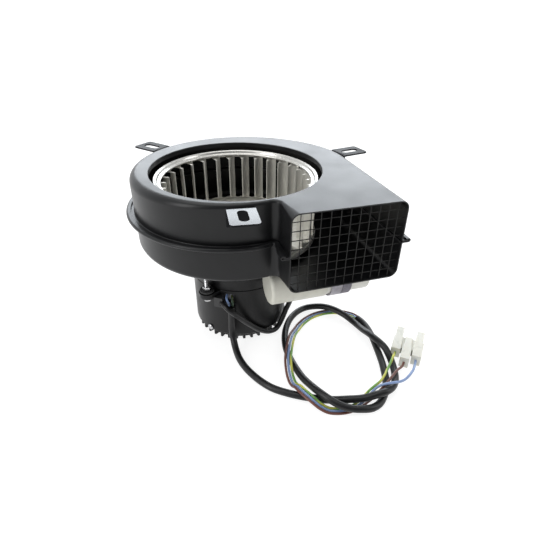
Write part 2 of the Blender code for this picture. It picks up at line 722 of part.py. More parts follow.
def rivet_spots():
    return [polar(RIVET_CIRCLE, 45 + 360 * count / RIVET_COUNT) for count in range(RIVET_COUNT)]


def rivet_holes(name):
    """Cutter for the rivet holes through the back plate and the hub's flange."""
    bm = bmesh.new()
    radius = RIVET_RADIUS + GAP
    for spot in rivet_spots():
        circle = [(spot.x + radius * math.cos(a), spot.y + radius * math.sin(a))
                  for a in (2 * math.pi * step / 10 for step in range(10))]
        prism(circle, plate_top() - 0.004, plate_top() + HUB_FLANGE + 0.004, bm)
    return place(name, bm, None)


def hub(material, parent):
    low = plate_top() + GAP
    bore = SHAFT_RADIUS + GAP
    outline = [(bore, low - HUB_SPIGOT), (HUB_RADIUS, low - HUB_SPIGOT), (HUB_RADIUS, low),
               (HUB_FLANGE_RADIUS, low), (HUB_FLANGE_RADIUS, low + HUB_FLANGE),
               (HUB_RADIUS, low + HUB_FLANGE), (HUB_RADIUS, low + HUB_HEIGHT), (bore, low + HUB_HEIGHT)]
    piece = place("impeller_hub", turned(outline, 24), material, parent=parent)
    cut(piece, rivet_holes("flange_rivet_holes"))
    height = low + HUB_FLANGE + (HUB_HEIGHT - HUB_FLANGE) / 2
    radius = HUB_SCREW_RADIUS + GAP
    drill = turned([(0, 0), (radius, 0), (radius, 2 * HUB_RADIUS), (0, 2 * HUB_RADIUS)], 12)
    cut(piece, place("screw_hole", drill, None, (0, 0, height), (0, math.pi / 2, 0)))
    length = HUB_RADIUS - SHAFT_RADIUS - 2 * GAP
    grub = turned([(0, 0), (HUB_SCREW_RADIUS, 0), (HUB_SCREW_RADIUS, length), (0, length)], 12)
    place("hub_screw", grub, STEEL, (SHAFT_RADIUS + GAP, 0, height), (0, math.pi / 2, 0), parent)
    return piece


def rivets(material, parent):
    low = plate_top() - WHEEL_SHEET - GAP
    high = plate_top() + GAP + HUB_FLANGE + GAP
    head, shank = RIVET_HEAD_RADIUS, RIVET_RADIUS
    outline = [(0, low - RIVET_HEAD), (head * 0.8, low - RIVET_HEAD), (head, low), (shank, low),
               (shank, high), (head, high), (head * 0.8, high + RIVET_HEAD), (0, high + RIVET_HEAD)]
    for count, spot in enumerate(rivet_spots(), 1):
        place(f"hub_rivet_{count}", turned(outline, 10), material, spot, parent=parent)


# ---- motor ----------------------------------------------------------------------------------


def hub_top():
    return plate_top() + GAP + HUB_HEIGHT


def rotor_parts(parent):
    tip = hub_top() + 0.0035
    bottom = MOTOR_FLOOR + 2 * GAP
    chamfer = 0.0006
    outline = [(0, bottom), (SHAFT_RADIUS - chamfer, bottom), (SHAFT_RADIUS, bottom + chamfer),
               (SHAFT_RADIUS, tip - chamfer), (SHAFT_RADIUS - chamfer, tip), (0, tip)]
    place("motor_shaft", turned(outline, 16), STEEL, parent=parent)
    clip_low = hub_top() + GAP
    clip = [(SHAFT_RADIUS + GAP, clip_low), (SHAFT_RADIUS + 0.0032, clip_low),
            (SHAFT_RADIUS + 0.0032, clip_low + 0.001), (SHAFT_RADIUS + GAP, clip_low + 0.001)]
    place("shaft_clip", turned(clip, 16), STEEL, parent=parent)
    low = STATOR_BOTTOM - 0.002
    high = COVER_JOINT + 0.002
    core = [(SHAFT_RADIUS + GAP, low), (ROTOR_RADIUS, low), (ROTOR_RADIUS, high), (SHAFT_RADIUS + GAP, high)]
    place("rotor_core", turned(core, 24), LAMINATION, parent=parent)


def lug_outline(angle):
    """A lug in plan, from inside the motor's wall out round its bolt."""
    centre = polar(LUG_CIRCLE, angle)
    along = polar(1.0, angle)
    side = Vector((-along.y, along.x, 0))
    inside = MOTOR_RADIUS - MOTOR_WALL / 2
    outline = [along * inside + side * LUG_RADIUS * 1.25, along * inside - side * LUG_RADIUS * 1.25]
    for step in range(9):
        swing = math.radians(-90 + 180 * step / 8)
        outline.append(centre + LUG_RADIUS * (math.cos(swing) * along + math.sin(swing) * side))
    return [(point.x, point.y) for point in outline]


def upper_cover():
    wall = MOTOR_RADIUS - MOTOR_WALL
    top = UPPER_COVER_TOP
    pocket = BEARING_RADIUS + GAP
    seat = UPPER_BOSS_TOP - 0.0015
    outline = [(MOTOR_RADIUS, COVER_JOINT + GAP), (MOTOR_RADIUS, top - 0.004), (MOTOR_RADIUS - 0.004, top),
               (UPPER_BOSS_RADIUS, top), (UPPER_BOSS_RADIUS, UPPER_BOSS_TOP), (SHAFT_RADIUS + 0.002, UPPER_BOSS_TOP),
               (SHAFT_RADIUS + 0.002, seat), (pocket, seat), (pocket, top - 0.003),
               (wall - 0.003, top - 0.003), (wall, top - 0.006), (wall, COVER_JOINT + GAP)]
    cover = place("motor_upper_cover", turned(outline, MOTOR_STEPS), BLACK_PAINT)
    high = seat - GAP
    bearing("upper_bearing", high - BEARING_WIDTH)
    return cover


def bearing(name, low):
    high = low + BEARING_WIDTH
    bore = SHAFT_RADIUS + GAP
    outline = [(bore, low), (BEARING_RADIUS, low), (BEARING_RADIUS, high), (bore, high)]
    place(name, turned(outline, 18), STEEL)


def lower_cover():
    wall = MOTOR_RADIUS - MOTOR_WALL
    pocket = BEARING_RADIUS + GAP
    step_height = FIN_HEIGHT
    outline = [(0, 0), (FIN_ROOT_RADIUS - 0.001, 0), (FIN_ROOT_RADIUS, 0.001), (FIN_ROOT_RADIUS, step_height),
               (FIN_TIP_RADIUS, step_height), (MOTOR_RADIUS, step_height + 0.0018), (MOTOR_RADIUS, COVER_JOINT),
               (wall, COVER_JOINT), (wall, step_height + 0.0045), (FIN_ROOT_RADIUS - 0.0025, step_height + 0.0027),
               (FIN_ROOT_RADIUS - 0.0045, MOTOR_FLOOR),
               (pocket + 0.0025, MOTOR_FLOOR), (pocket + 0.0025, MOTOR_FLOOR + BEARING_WIDTH + 0.0015),
               (pocket, MOTOR_FLOOR + BEARING_WIDTH + 0.0015), (pocket, MOTOR_FLOOR), (0, MOTOR_FLOOR)]
    cover = place("motor_lower_cover", turned(outline, MOTOR_STEPS), BLACK_PAINT)
    fins = bmesh.new()
    for count in range(FIN_COUNT):
        along = polar(1.0, 360 * count / FIN_COUNT)
        side = Vector((-along.y, along.x, 0)) * FIN_THICKNESS / 2
        near, far = along * (FIN_ROOT_RADIUS - 0.0012), along * FIN_TIP_RADIUS
        corners = [near - side, far - side * 0.7, far + side * 0.7, near + side]
        prism([(point.x, point.y) for point in corners], 0.0004, step_height + 0.0004, fins)
    join(cover, place("fins", fins, None))
    lugs = bmesh.new()
    for angle in LUG_ANGLES:
        prism(lug_outline(angle), COVER_JOINT - LUG_THICKNESS, COVER_JOINT - 0.0002, lugs)
    join(cover, place("lugs", lugs, None))
    holes = bmesh.new()
    for angle in LUG_ANGLES:
        centre = polar(LUG_CIRCLE, angle)
        radius = GROMMET_NECK + GAP
        circle = [(centre.x + radius * math.cos(a), centre.y + radius * math.sin(a))
                  for a in (2 * math.pi * step / 16 for step in range(16))]
        prism(circle, COVER_JOINT - 0.008, COVER_JOINT + 0.004, holes)
    cut(cover, place("grommet_holes", holes, None))
    entry = box((MOTOR_RADIUS - 0.008, -ENTRY_WIDTH / 2, ENTRY_BOTTOM), (MOTOR_RADIUS + 0.004, ENTRY_WIDTH / 2, ENTRY_TOP))
    cut(cover, place("cable_entry", entry, None, rotation=(0, 0, math.radians(ENTRY_ANGLE))))
    bearing("lower_bearing", MOTOR_FLOOR + GAP)
    return cover


def rim_screws(cover):
    """Screws through the lower cover's wall near its foot, heads outside."""
    wall = MOTOR_RADIUS - MOTOR_WALL
    head_low = MOTOR_RADIUS + GAP
    shank, head = RIM_SCREW_RADIUS, RIM_SCREW_HEAD
    outline = [(0, wall - 0.002), (shank, wall - 0.002), (shank, head_low), (head, head_low),
               (head, head_low + 0.0008), (head * 0.6, head_low + 0.0018), (0, head_low + 0.0018)]
    drills = bmesh.new()
    for count, degrees in enumerate(RIM_SCREW_ANGLES, 1):
        turn = (0, math.pi / 2, math.radians(degrees))
        place(f"rim_screw_{count}", turned(outline, 12), STEEL, (0, 0, RIM_SCREW_HEIGHT), turn)
        radius = shank + GAP
        drill = turned([(0, wall - 0.004), (radius, wall - 0.004), (radius, wall + 0.010), (0, wall + 0.010)], 12)
        drill.transform(Matrix.Translation((0, 0, RIM_SCREW_HEIGHT)) @ Matrix.Rotation(turn[2], 4, "Z")
                        @ Matrix.Rotation(turn[1], 4, "Y"))
        copy = bpy.data.meshes.new("drill")
        drill.to_mesh(copy)
        drill.free()
        drills.from_mesh(copy)
    cut(cover, place("rim_screw_holes", drills, None))


def stator():
    outer = MOTOR_RADIUS - MOTOR_WALL - GAP
    inner = ROTOR_RADIUS + AIR_GAP
    core = [(inner, STATOR_BOTTOM), (outer, STATOR_BOTTOM), (outer, COVER_JOINT), (inner, COVER_JOINT)]
    place("stator_core", turned(core, 32), LAMINATION)
    inside, outside = inner + 0.0014, outer - 0.0025
    for name, low in (("lower_winding", STATOR_BOTTOM - GAP - WINDING_HEIGHT), ("upper_winding", COVER_JOINT + GAP)):
        high = low + WINDING_HEIGHT
        round_ = 0.0035
        ring = [(inside, low + round_), (inside + round_, low), (outside - round_, low), (outside, low + round_),
                (outside, high - round_), (outside - round_, high), (inside + round_, high), (inside, high - round_)]
        place(name, turned(ring, 24), COPPER)


def suspension():
    """Grommet, hanging bolt and nut at each lug."""
    top, bottom = COVER_JOINT + GAP, COVER_JOINT - LUG_THICKNESS - GAP
    bore = BOLT_RADIUS + GAP
    spool = [(bore, bottom - GROMMET_FLANGE), (GROMMET_RADIUS, bottom - GROMMET_FLANGE), (GROMMET_RADIUS, bottom),
             (GROMMET_NECK, bottom), (GROMMET_NECK, top), (GROMMET_RADIUS, top),
             (GROMMET_RADIUS, top + GROMMET_FLANGE), (bore, top + GROMMET_FLANGE)]
    head_top = bottom - GROMMET_FLANGE - GAP
    bolt_top = HOUSING_FLOOR - GAP
    bolt = [(0, head_top - HEX_HEIGHT), (HEX_RADIUS, head_top - HEX_HEIGHT), (HEX_RADIUS, head_top),
            (BOLT_RADIUS, head_top), (BOLT_RADIUS, bolt_top), (0, bolt_top)]
    nut_low = top + GROMMET_FLANGE + GAP
    nut = [(bore, nut_low), (HEX_RADIUS, nut_low), (HEX_RADIUS, nut_low + HEX_HEIGHT), (bore, nut_low + HEX_HEIGHT)]
    for count, angle in enumerate(LUG_ANGLES, 1):
        spot = polar(LUG_CIRCLE, angle)
        place(f"grommet_{count}", turned(spool, 14), RUBBER, spot)
        place(f"mount_bolt_{count}", turned(bolt, 8), STEEL, spot)
        place(f"mount_nut_{count}", turned(nut, 6), STEEL, spot)


def cable_saddle():
    """Block on the motor's wall beside the cable entry; the capacitor's lead comes out of it."""
    turn = (0, 0, math.radians(SADDLE_ANGLE))
    inside = MOTOR_RADIUS + GAP
    from_lug = LUG_CIRCLE * math.sin(math.radians(SADDLE_ANGLE - LUG_ANGLES[0]))
    left = GROMMET_RADIUS + SADDLE_LUG_CLEARANCE - from_lug
    block = box((inside, left, SADDLE_BOTTOM), (inside + SADDLE_REACH, SADDLE_RIGHT, SADDLE_TOP))
    saddle = place("cable_saddle", block, BLACK_PLASTIC, rotation=turn)
    start, onward = Vector(LEAD_ROUTE[0]) / 1000, Vector(LEAD_ROUTE[1]) / 1000
    along = (onward - start).normalized()
    radius = LEAD_RADIUS + 2 * GAP
    bore = turned([(0, 0), (radius, 0), (radius, 0.012), (0, 0.012)], 16)
    aim = along.to_track_quat("Z", "Y").to_euler()
    cut(saddle, place("lead_hole", bore, None, start - GAP * along, aim))


# ---- capacitor ------------------------------------------------------------------------------


def capacitor():
    """The can lies along X in a terminal boot, hung from the duct's floor by a band."""
    lie = (0, math.pi / 2, 0)
    can_length = CAN_RIGHT - CAN_LEFT
    can = [(0, 0), (CAN_RADIUS - 0.001, 0), (CAN_RADIUS, 0.001), (CAN_RADIUS, can_length - 0.001),
           (CAN_RADIUS - 0.001, can_length), (0, can_length)]
    place("capacitor_can", turned(can, 32), CREAM, (CAN_LEFT, CAPACITOR_Y, CAPACITOR_Z), lie)
    length = BOOT_RIGHT - BOOT_LEFT
    inner = BOOT_RADIUS - BOOT_WALL
    floor = CAN_LEFT - BOOT_LEFT - GAP
    boot = [(0, 0), (BOOT_RADIUS - 0.0030, 0), (BOOT_RADIUS - 0.0010, 0.0010), (BOOT_RADIUS, 0.0030),
            (BOOT_RADIUS, length), (inner, length), (inner, floor), (0, floor)]
    body = place("capacitor_boot", turned(boot, 32), CREAM, (BOOT_LEFT, CAPACITOR_Y, CAPACITOR_Z), lie)
    start, reach = BOOT_RADIUS - BOOT_WALL / 2, BOOT_RADIUS + NOZZLE_LENGTH
    nozzle = turned([(0, start), (NOZZLE_RADIUS, start), (NOZZLE_RADIUS, reach), (0, reach)], 16)
    join(body, place("nozzle", nozzle, None, (NOZZLE_X, CAPACITOR_Y, CAPACITOR_Z), (math.pi + NOZZLE_ANGLE, 0, 0)))
    inside = CAN_RADIUS + GAP
    outside = inside + COLLAR_THICKNESS
    for name, low, high, material in (("capacitor_band", BAND_LEFT, BAND_RIGHT, ZINC),
                                      ("capacitor_pad", BAND_RIGHT + GAP, PAD_RIGHT, RUBBER)):
        width = high - low
        collar = [(inside, 0), (outside, 0), (outside, width), (inside, width)]
        place(name, turned(collar, 32), material, (low, CAPACITOR_Y, CAPACITOR_Z), lie)
    top = HOUSING_FLOOR - GAP
    bottom = top - BRACKET_SHEET
    bracket = place("capacitor_bracket", box((BAND_LEFT, CAPACITOR_Y - BRACKET_HALF, bottom),
                                             (BAND_RIGHT, CAPACITOR_Y + BRACKET_HALF, top)), ZINC)
    head_top = bottom - GAP
    shank = 0.0016
    screw = [(0, head_top - 0.0022), (0.0024, head_top - 0.0022), (0.0033, head_top), (shank, head_top),
             (shank, top), (0, top)]
    drills = bmesh.new()
    middle = (BAND_LEFT + BAND_RIGHT) / 2
    for count, side in enumerate((-1, 1), 1):
        y = CAPACITOR_Y + side * BRACKET_SCREW_OFFSET
        place(f"bracket_screw_{count}", turned(screw, 12), STEEL, (middle, y, 0))
        circle = [(middle + (shank + GAP) * math.cos(a), y + (shank + GAP) * math.sin(a))
                  for a in (2 * math.pi * step / 12 for step in range(12))]
        prism(circle, bottom - 0.002, top + 0.002, drills)
    cut(bracket, place("bracket_holes", drills, None))


# ---- cable, wires and connector -------------------------------------------------------------


def wire_route(name):
    """The bundle's route shifted to this wire's place in it, then the wire's own tail."""
    points = [Vector(point) for point in BUNDLE_ROUTE]
    route = []
    for count, point in enumerate(points):
        before, after = points[max(count - 1, 0)], points[min(count + 1, len(points) - 1)]
        ahead = (after - before).to_2d().normalized()
        shift = WIRE_SLOTS[name] * WIRE_PITCH * 1000
        route.append(point + shift * Vector((-ahead.y, ahead.x, 0)))
    return route + [Vector(point) for point in WIRE_TAILS[name]]


def cables():
    tube("supply_cable", CABLE_ROUTE, CABLE_RADIUS, CABLE_STEP, BLACK_PVC)
    tube("capacitor_lead", LEAD_ROUTE, LEAD_RADIUS, LEAD_STEP, BLACK_PVC)
    colours = {"wire_brown": BROWN, "wire_blue": BLUE, "wire_green_yellow": GREEN}
    for name, material in colours.items():
        tube(name, wire_route(name), WIRE_RADIUS, WIRE_STEP, material)
    tube("motor_lead_blue", MOTOR_LEADS["motor_lead_blue"], WIRE_RADIUS, 0.004, BLUE)
    tube("motor_lead_green", MOTOR_LEADS["motor_lead_green"], WIRE_RADIUS, 0.004, GREEN)


def connector():
    """Three poles side by side on one web; the wires enter at the near ends."""
    spot = (*CONNECTOR_PLACE, 0)
    turn = (0, 0, CONNECTOR_TURN)
    half = POLE_WIDTH / 2
    poles = []
    for side, (low, high) in zip((1, 0, -1), POLE_SPANS):
        centre = side * POLE_PITCH
        poles.append(box((low, centre - half, 0), (high, centre + half, CONNECTOR_HEIGHT)))
    housing = place("connector_housing", poles[0], NYLON, spot, turn)
    join(housing, place("pole_middle", poles[1], None, spot, turn))
    join(housing, place("pole_right", poles[2], None, spot, turn))
    web = box((WEB_SPAN[0], -POLE_PITCH, WEB_BOTTOM), (WEB_SPAN[1], POLE_PITCH, WEB_TOP))
    join(housing, place("web", web, None, spot, turn))
    cavities = bmesh.new()
    hollow = CAVITY_WIDTH / 2
    middle = CONNECTOR_HEIGHT / 2
    for side, (low, high) in zip((1, 0, -1), POLE_SPANS):
        centre = side * POLE_PITCH
        box((CAVITY_FLOOR, centre - hollow, middle - hollow), (high + 0.004, centre + hollow, middle + hollow), cavities)
    cut(housing, place("cavities", cavities, None, spot, turn))
    length = TERMINAL_SPAN[1] - TERMINAL_SPAN[0]
    pin = [(0, 0), (TERMINAL_RADIUS, 0), (TERMINAL_RADIUS, length - 0.0008), (TERMINAL_RADIUS * 0.5, length), (0, length)]
    for count, side in enumerate((1, 0, -1), 1):
        local = Vector((TERMINAL_SPAN[0], side * POLE_PITCH, middle))
        base = Matrix.Rotation(CONNECTOR_TURN, 3, "Z") @ local + Vector(spot)
        place(f"terminal_{count}", turned(pin, 10), BRASS, base, (0, math.pi / 2, CONNECTOR_TURN))


# ---- the whole blower -----------------------------------------------------------------------

clear_scene()
BLACK_PAINT = finish("black_paint", (0.02, 0.02, 0.022), 0.35)
BLACK_PLASTIC = finish("black_plastic", (0.02, 0.02, 0.02), 0.5)
BLACK_PVC = finish("black_pvc", (0.015, 0.015, 0.015), 0.45)
RUBBER = finish("rubber", (0.03, 0.03, 0.03), 0.8)
ALUMINISED = finish("aluminised_steel", (0.62, 0.63, 0.62), 0.35, 1.0)
STEEL = finish("steel", (0.6, 0.6, 0.6), 0.3, 1.0)
ZINC = finish("zinc_plate", (0.55, 0.55, 0.58), 0.35, 1.0)
ALUMINIUM = finish("aluminium", (0.7, 0.7, 0.72), 0.4, 1.0)
LAMINATION = finish("lamination", (0.25, 0.25, 0.27), 0.5, 1.0)
COPPER = finish("copper", (0.6, 0.25, 0.1), 0.4, 1.0)
BRASS = finish("brass", (0.75, 0.55, 0.25), 0.3, 1.0)
CREAM = finish("cream_plastic", (0.6, 0.58, 0.5), 0.45)
NYLON = finish("nylon", (0.7, 0.7, 0.62), 0.4)
BROWN = finish("brown_pvc", (0.12, 0.05, 0.03), 0.4)
BLUE = finish("blue_pvc", (0.15, 0.25, 0.5), 0.4)
GREEN = finish("green_pvc", (0.3, 0.45, 0.08), 0.4)

rotor_axis = bpy.data.objects.new("rotor_axis", None)
bpy.context.collection.objects.link(rotor_axis)

upper_shell(BLACK_PAINT)
lower_shell(BLACK_PAINT)
outlet_grille(STEEL)
for ear_name, ear_angle in EAR_ANGLES.items():
    ear(ear_name, ear_angle, BLACK_PAINT)

top_ring(ALUMINISED, rotor_axis)
blade_strip(ALUMINISED, rotor_axis)
back_plate(ALUMINISED, rotor_axis)
hub(ALUMINIUM, rotor_axis)
rivets(ALUMINIUM, rotor_axis)
rotor_parts(rotor_axis)

upper_cover()
rim_screws(lower_cover())
stator()
suspension()
cable_saddle()
capacitor()
cables()
connector()
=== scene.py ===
"""The looks of the centrifugal blower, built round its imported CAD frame."""

import math

import bmesh
import bpy
from mathutils import Matrix, Vector


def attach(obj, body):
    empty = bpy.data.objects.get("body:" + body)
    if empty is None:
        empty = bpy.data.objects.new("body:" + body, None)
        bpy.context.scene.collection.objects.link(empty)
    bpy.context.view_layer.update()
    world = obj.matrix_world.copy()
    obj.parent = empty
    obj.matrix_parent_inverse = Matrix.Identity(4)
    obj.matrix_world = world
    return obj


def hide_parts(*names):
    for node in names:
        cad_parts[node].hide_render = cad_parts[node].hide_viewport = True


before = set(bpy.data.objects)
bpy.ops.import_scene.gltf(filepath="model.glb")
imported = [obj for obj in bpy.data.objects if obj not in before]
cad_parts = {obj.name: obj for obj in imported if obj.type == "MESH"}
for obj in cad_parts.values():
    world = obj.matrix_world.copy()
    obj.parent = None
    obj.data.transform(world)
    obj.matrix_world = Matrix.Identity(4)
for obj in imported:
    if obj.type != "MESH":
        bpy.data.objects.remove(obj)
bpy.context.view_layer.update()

# ---- driving dimensions -------------------------------------------------------------------
GAP = 0.0003                        # between pieces that touch
SHEET = 0.0010                      # housing sheet

# wheel
WHEEL_RADIUS = 0.0748
RING_WIDTH = 0.0069                 # of the wheel's top ring
BLADE_DEPTH = 0.0108                # from the wheel's outside to a blade's inner edge
INLET_CLEARANCE = 0.0027            # round the wheel at the inlet
CUTOFF_CLEARANCE = 0.0074           # from the wheel to the scroll's outer face at the cutoff

# housing
HOUSING_FLOOR = 0.0950              # underside of the housing above the motor's end face
HOUSING_HEIGHT = 0.0693
HOUSING_TOP = HOUSING_FLOOR + HOUSING_HEIGHT
INLET_RADIUS = WHEEL_RADIUS + INLET_CLEARANCE
INLET_LIP_RADIUS = 0.0009
INLET_LIP_DEPTH = 0.0045
SCROLL_START_RADIUS = WHEEL_RADIUS + CUTOFF_CLEARANCE
SCROLL_START_ANGLE = math.radians(-85)
SCROLL_GROWTH = 0.0068              # radius gained for each radian, clockwise from above
SCROLL_END_ANGLE = math.radians(-330)
CUTOFF_RADIUS = 0.0060              # fillet between the scroll and the duct
OUTLET_LEFT = 0.0145                # outer faces of the duct's side walls
OUTLET_RIGHT = 0.1116
OUTLET_Y = -0.1097
FOLD_SMALL = 0.0025                 # edge fold at the cutoff
FOLD_LARGE = 0.0075                 # edge fold everywhere else
FOLD_RISE_ANGLE = math.radians(84)  # the fold grows over this much of the scroll
MOTOR_OPENING_RADIUS = 0.0165

# seam between the two shells
SEAM_DEPTH = 0.0364                 # below the housing's top
FLANGE_WIDTH = 0.0073
FLANGE_NARROW = 0.0052              # where the flange turns round the cutoff fillet
FLANGE_TAPER = 0.015                # length over which it narrows
HEM_RADIUS = 0.0018                 # the lower flange is folded over the upper one
HEM_RETURN = 0.0022                 # how far it reaches back over it

# outlet grille
GRILLE_COLUMNS = 11
GRILLE_ROWS = 8
GRILLE_SETBACK = 0.0015

# mounting ears
EAR_WIDTH = 0.0225
EAR_LENGTH = 0.0295
EAR_SHEET = 0.0015
EAR_LEG = 0.0150
EAR_DROP = 0.0022                   # ear's top face below the housing's top
EAR_CORNER = 0.0030
EAR_SLOT_WIDTH = 0.0077
EAR_SLOT_LENGTH = 0.0185
EAR_ANGLES = {"ear_front": -101.0, "ear_left": 125.6, "ear_right": 11.5}

# rest of the wheel
WHEEL_HEIGHT = 0.0576
WHEEL_DROP = 0.0067                 # wheel's top below the housing's top
WHEEL_TOP = HOUSING_TOP - WHEEL_DROP
WHEEL_SHEET = 0.0008
RING_INNER_RADIUS = WHEEL_RADIUS - RING_WIDTH
RING_SKIRT = 0.0071
RING_STEP = 0.0033
# the ring's outer bead and first groove: (inwards from the rim, down from the top)
RING_BEAD = ((0.0, 0.0008), (0.0008, 0.0), (0.0014, 0.0001), (0.0019, 0.0006), (0.0024, 0.0001))
BLADE_COUNT = 30
BLADE_SHEET = 0.0008
BLADE_INNER_RADIUS = WHEEL_RADIUS - BLADE_DEPTH
BLADE_SWEEP = math.radians(5.0)     # the outer edge leads the inner one
BLADE_CAMBER = 0.0016
SKIRT_HEIGHT = 0.0046
PLATE_TOP = WHEEL_TOP - WHEEL_HEIGHT + SKIRT_HEIGHT  # upper face of the back plate

# hub
HUB_FLANGE_RADIUS = 0.0180
HUB_FLANGE = 0.0027
HUB_RADIUS = 0.0110
HUB_HEIGHT = 0.0144
HUB_SPIGOT = 0.0034
HUB_TOP = PLATE_TOP + GAP + HUB_HEIGHT
RIVET_CIRCLE = 0.0147
RIVET_RADIUS = 0.0016
RIVET_HEAD_RADIUS = 0.0029
RIVET_HEAD = 0.0012
RIVET_DOME = ((0, 1), (0.55, 0.9), (0.9, 0.45), (1, 0))  # shares of the head's radius and height
RIVET_COUNT = 4
HUB_SCREW_RADIUS = 0.0020
HUB_SCREW_SOCKET = 0.0015

# motor
SHAFT_RADIUS = 0.0040
SHAFT_END = 0.0035                  # past the hub
CLIP_WIDTH = 0.0032
CLIP_THICKNESS = 0.0010
MOTOR_RADIUS = 0.0473
MOTOR_WALL = 0.0027
COVER_EDGE = 0.0007                 # rounding of the covers' corners
COVER_JOINT = 0.0600                # height of the joint between the two covers
UPPER_COVER_TOP = 0.0915
COVER_ROOF = 0.0030
COVER_CHAMFER = 0.0040              # upper cover's outer edge
FOOT_CHAMFER = 0.0018               # from the fins up to the wall
UPPER_BOSS_RADIUS = 0.0145
UPPER_BOSS_TOP = 0.0982
FIN_COUNT = 36
FIN_TIP_RADIUS = MOTOR_RADIUS - 0.0018
FIN_ROOT_RADIUS = MOTOR_RADIUS - 0.0061
FIN_HEIGHT = 0.0060
FIN_THICKNESS = 0.0036
FIN_OVERLAP = 0.0012                # of a fin with the foot
FIN_TAPER = 0.0008                  # length over which its tip narrows
FIN_LIFT = 0.0004                   # of its underside above the end face
MOTOR_FLOOR = 0.0030
BEARING_RADIUS = 0.0110
BEARING_WIDTH = 0.0070
BEARING_LIP = 0.0015
BEARING_WALL = 0.0025
SHAFT_CLEARANCE = 0.0020            # round the shaft in the upper cover

# motor suspension: three lugs, rubber grommets and hanging bolts
LUG_ANGLES = (-138.0, -18.0, 102.0)
LUG_CIRCLE = MOTOR_RADIUS + 0.0070
LUG_RADIUS = 0.0078
LUG_THICKNESS = 0.0040
GROMMET_RADIUS = 0.0068
GROMMET_NECK = 0.0047
GROMMET_FLANGE = 0.0020
BOLT_RADIUS = 0.0020
THREAD_PITCH = 0.0007
THREAD_DEPTH = 0.00025
HEX_RADIUS = 0.0040
HEX_HEIGHT = 0.0030
HEX_CHAMFER = 0.0007
RIM_SCREW_ANGLES = (-144.0, -24.0, 96.0)
RIM_SCREW_HEIGHT = 0.0100
RIM_SCREW_HEAD = 0.0030
RIM_SCREW_HEAD_HEIGHT = 0.0018

# cable entry, with a saddle beside it that holds the capacitor's lead
ENTRY_ANGLE = -116.0
ENTRY_WIDTH = 0.0096
ENTRY_BOTTOM = 0.0475
ENTRY_TOP = 0.0570
SADDLE_ANGLE = -124.0
SADDLE_LUG_CLEARANCE = 0.00034      # from the saddle to the grommet beside it
SADDLE_RIGHT = 0.0025
SADDLE_BOTTOM = 0.0450
SADDLE_TOP = 0.0555
SADDLE_REACH = 0.0070
SADDLE_BORE = 0.0120                # length of the drill
CABLE_RADIUS = 0.0033
LEAD_RADIUS = 0.0026
WIRE_RADIUS = 0.00115
WIRE_PITCH = 0.0027

# capacitor, lying under the duct
CAPACITOR_Y = -0.0654
CAN_RADIUS = 0.0162
CAN_LEFT = 0.0182
CAN_RIGHT = 0.1046
CAN_RIM = 0.0016
CAN_RIM_FOOT = 0.0022
CAN_RECESS = 0.0012                 # of the end inside the rim
BOOT_WALL = 0.0008
BOOT_RADIUS = CAN_RADIUS + GAP + BOOT_WALL
BOOT_LEFT = 0.0098
BOOT_RIGHT = 0.0620
NOZZLE_X = 0.0380
NOZZLE_ANGLE = math.radians(33)     # from straight down, towards the motor
NOZZLE_RADIUS = 0.0040
NOZZLE_LENGTH = 0.0047
COLLAR_THICKNESS = 0.0015
BAND_LEFT = 0.0660
BAND_RIGHT = 0.0765
PAD_RIGHT = 0.0855
BRACKET_HALF = 0.0260
BRACKET_SHEET = 0.0015
CAPACITOR_Z = HOUSING_FLOOR - BRACKET_SHEET - COLLAR_THICKNESS - CAN_RADIUS - 3 * GAP
BRACKET_SCREW_OFFSET = 0.0215
BRACKET_SCREW_HEAD = 0.0033
BRACKET_SCREW_HEAD_HEIGHT = 0.0022

# connector: three poles side by side, lying on the ground
CONNECTOR_PLACE = (0.1415, -0.1085)
CONNECTOR_TURN = math.radians(50)
CONNECTOR_HEIGHT = 0.0115
POLE_PITCH = 0.0100
POLE_WIDTH = 0.0086
SLIM_SHARE = 0.80                   # width of a pole's far half over the near one's
SLIM_STEP = 0.0009                  # from the near half's top and bottom to the far one's
SHOULDER_SHARE = 0.55               # where along a pole its shoulder is
POLE_SPANS = ((-0.0130, 0.0230), (-0.0240, 0.0090), (-0.0170, 0.0220))
WEB_SPAN = (-0.0080, 0.0085)
WEB_BOTTOM = 0.0020
WEB_TOP = 0.0092
CAVITY_WIDTH = 0.0044
CAVITY_FLOOR = -0.0090
TERMINAL_RADIUS = 0.0014
TERMINAL_SPAN = (-0.0085, 0.0060)

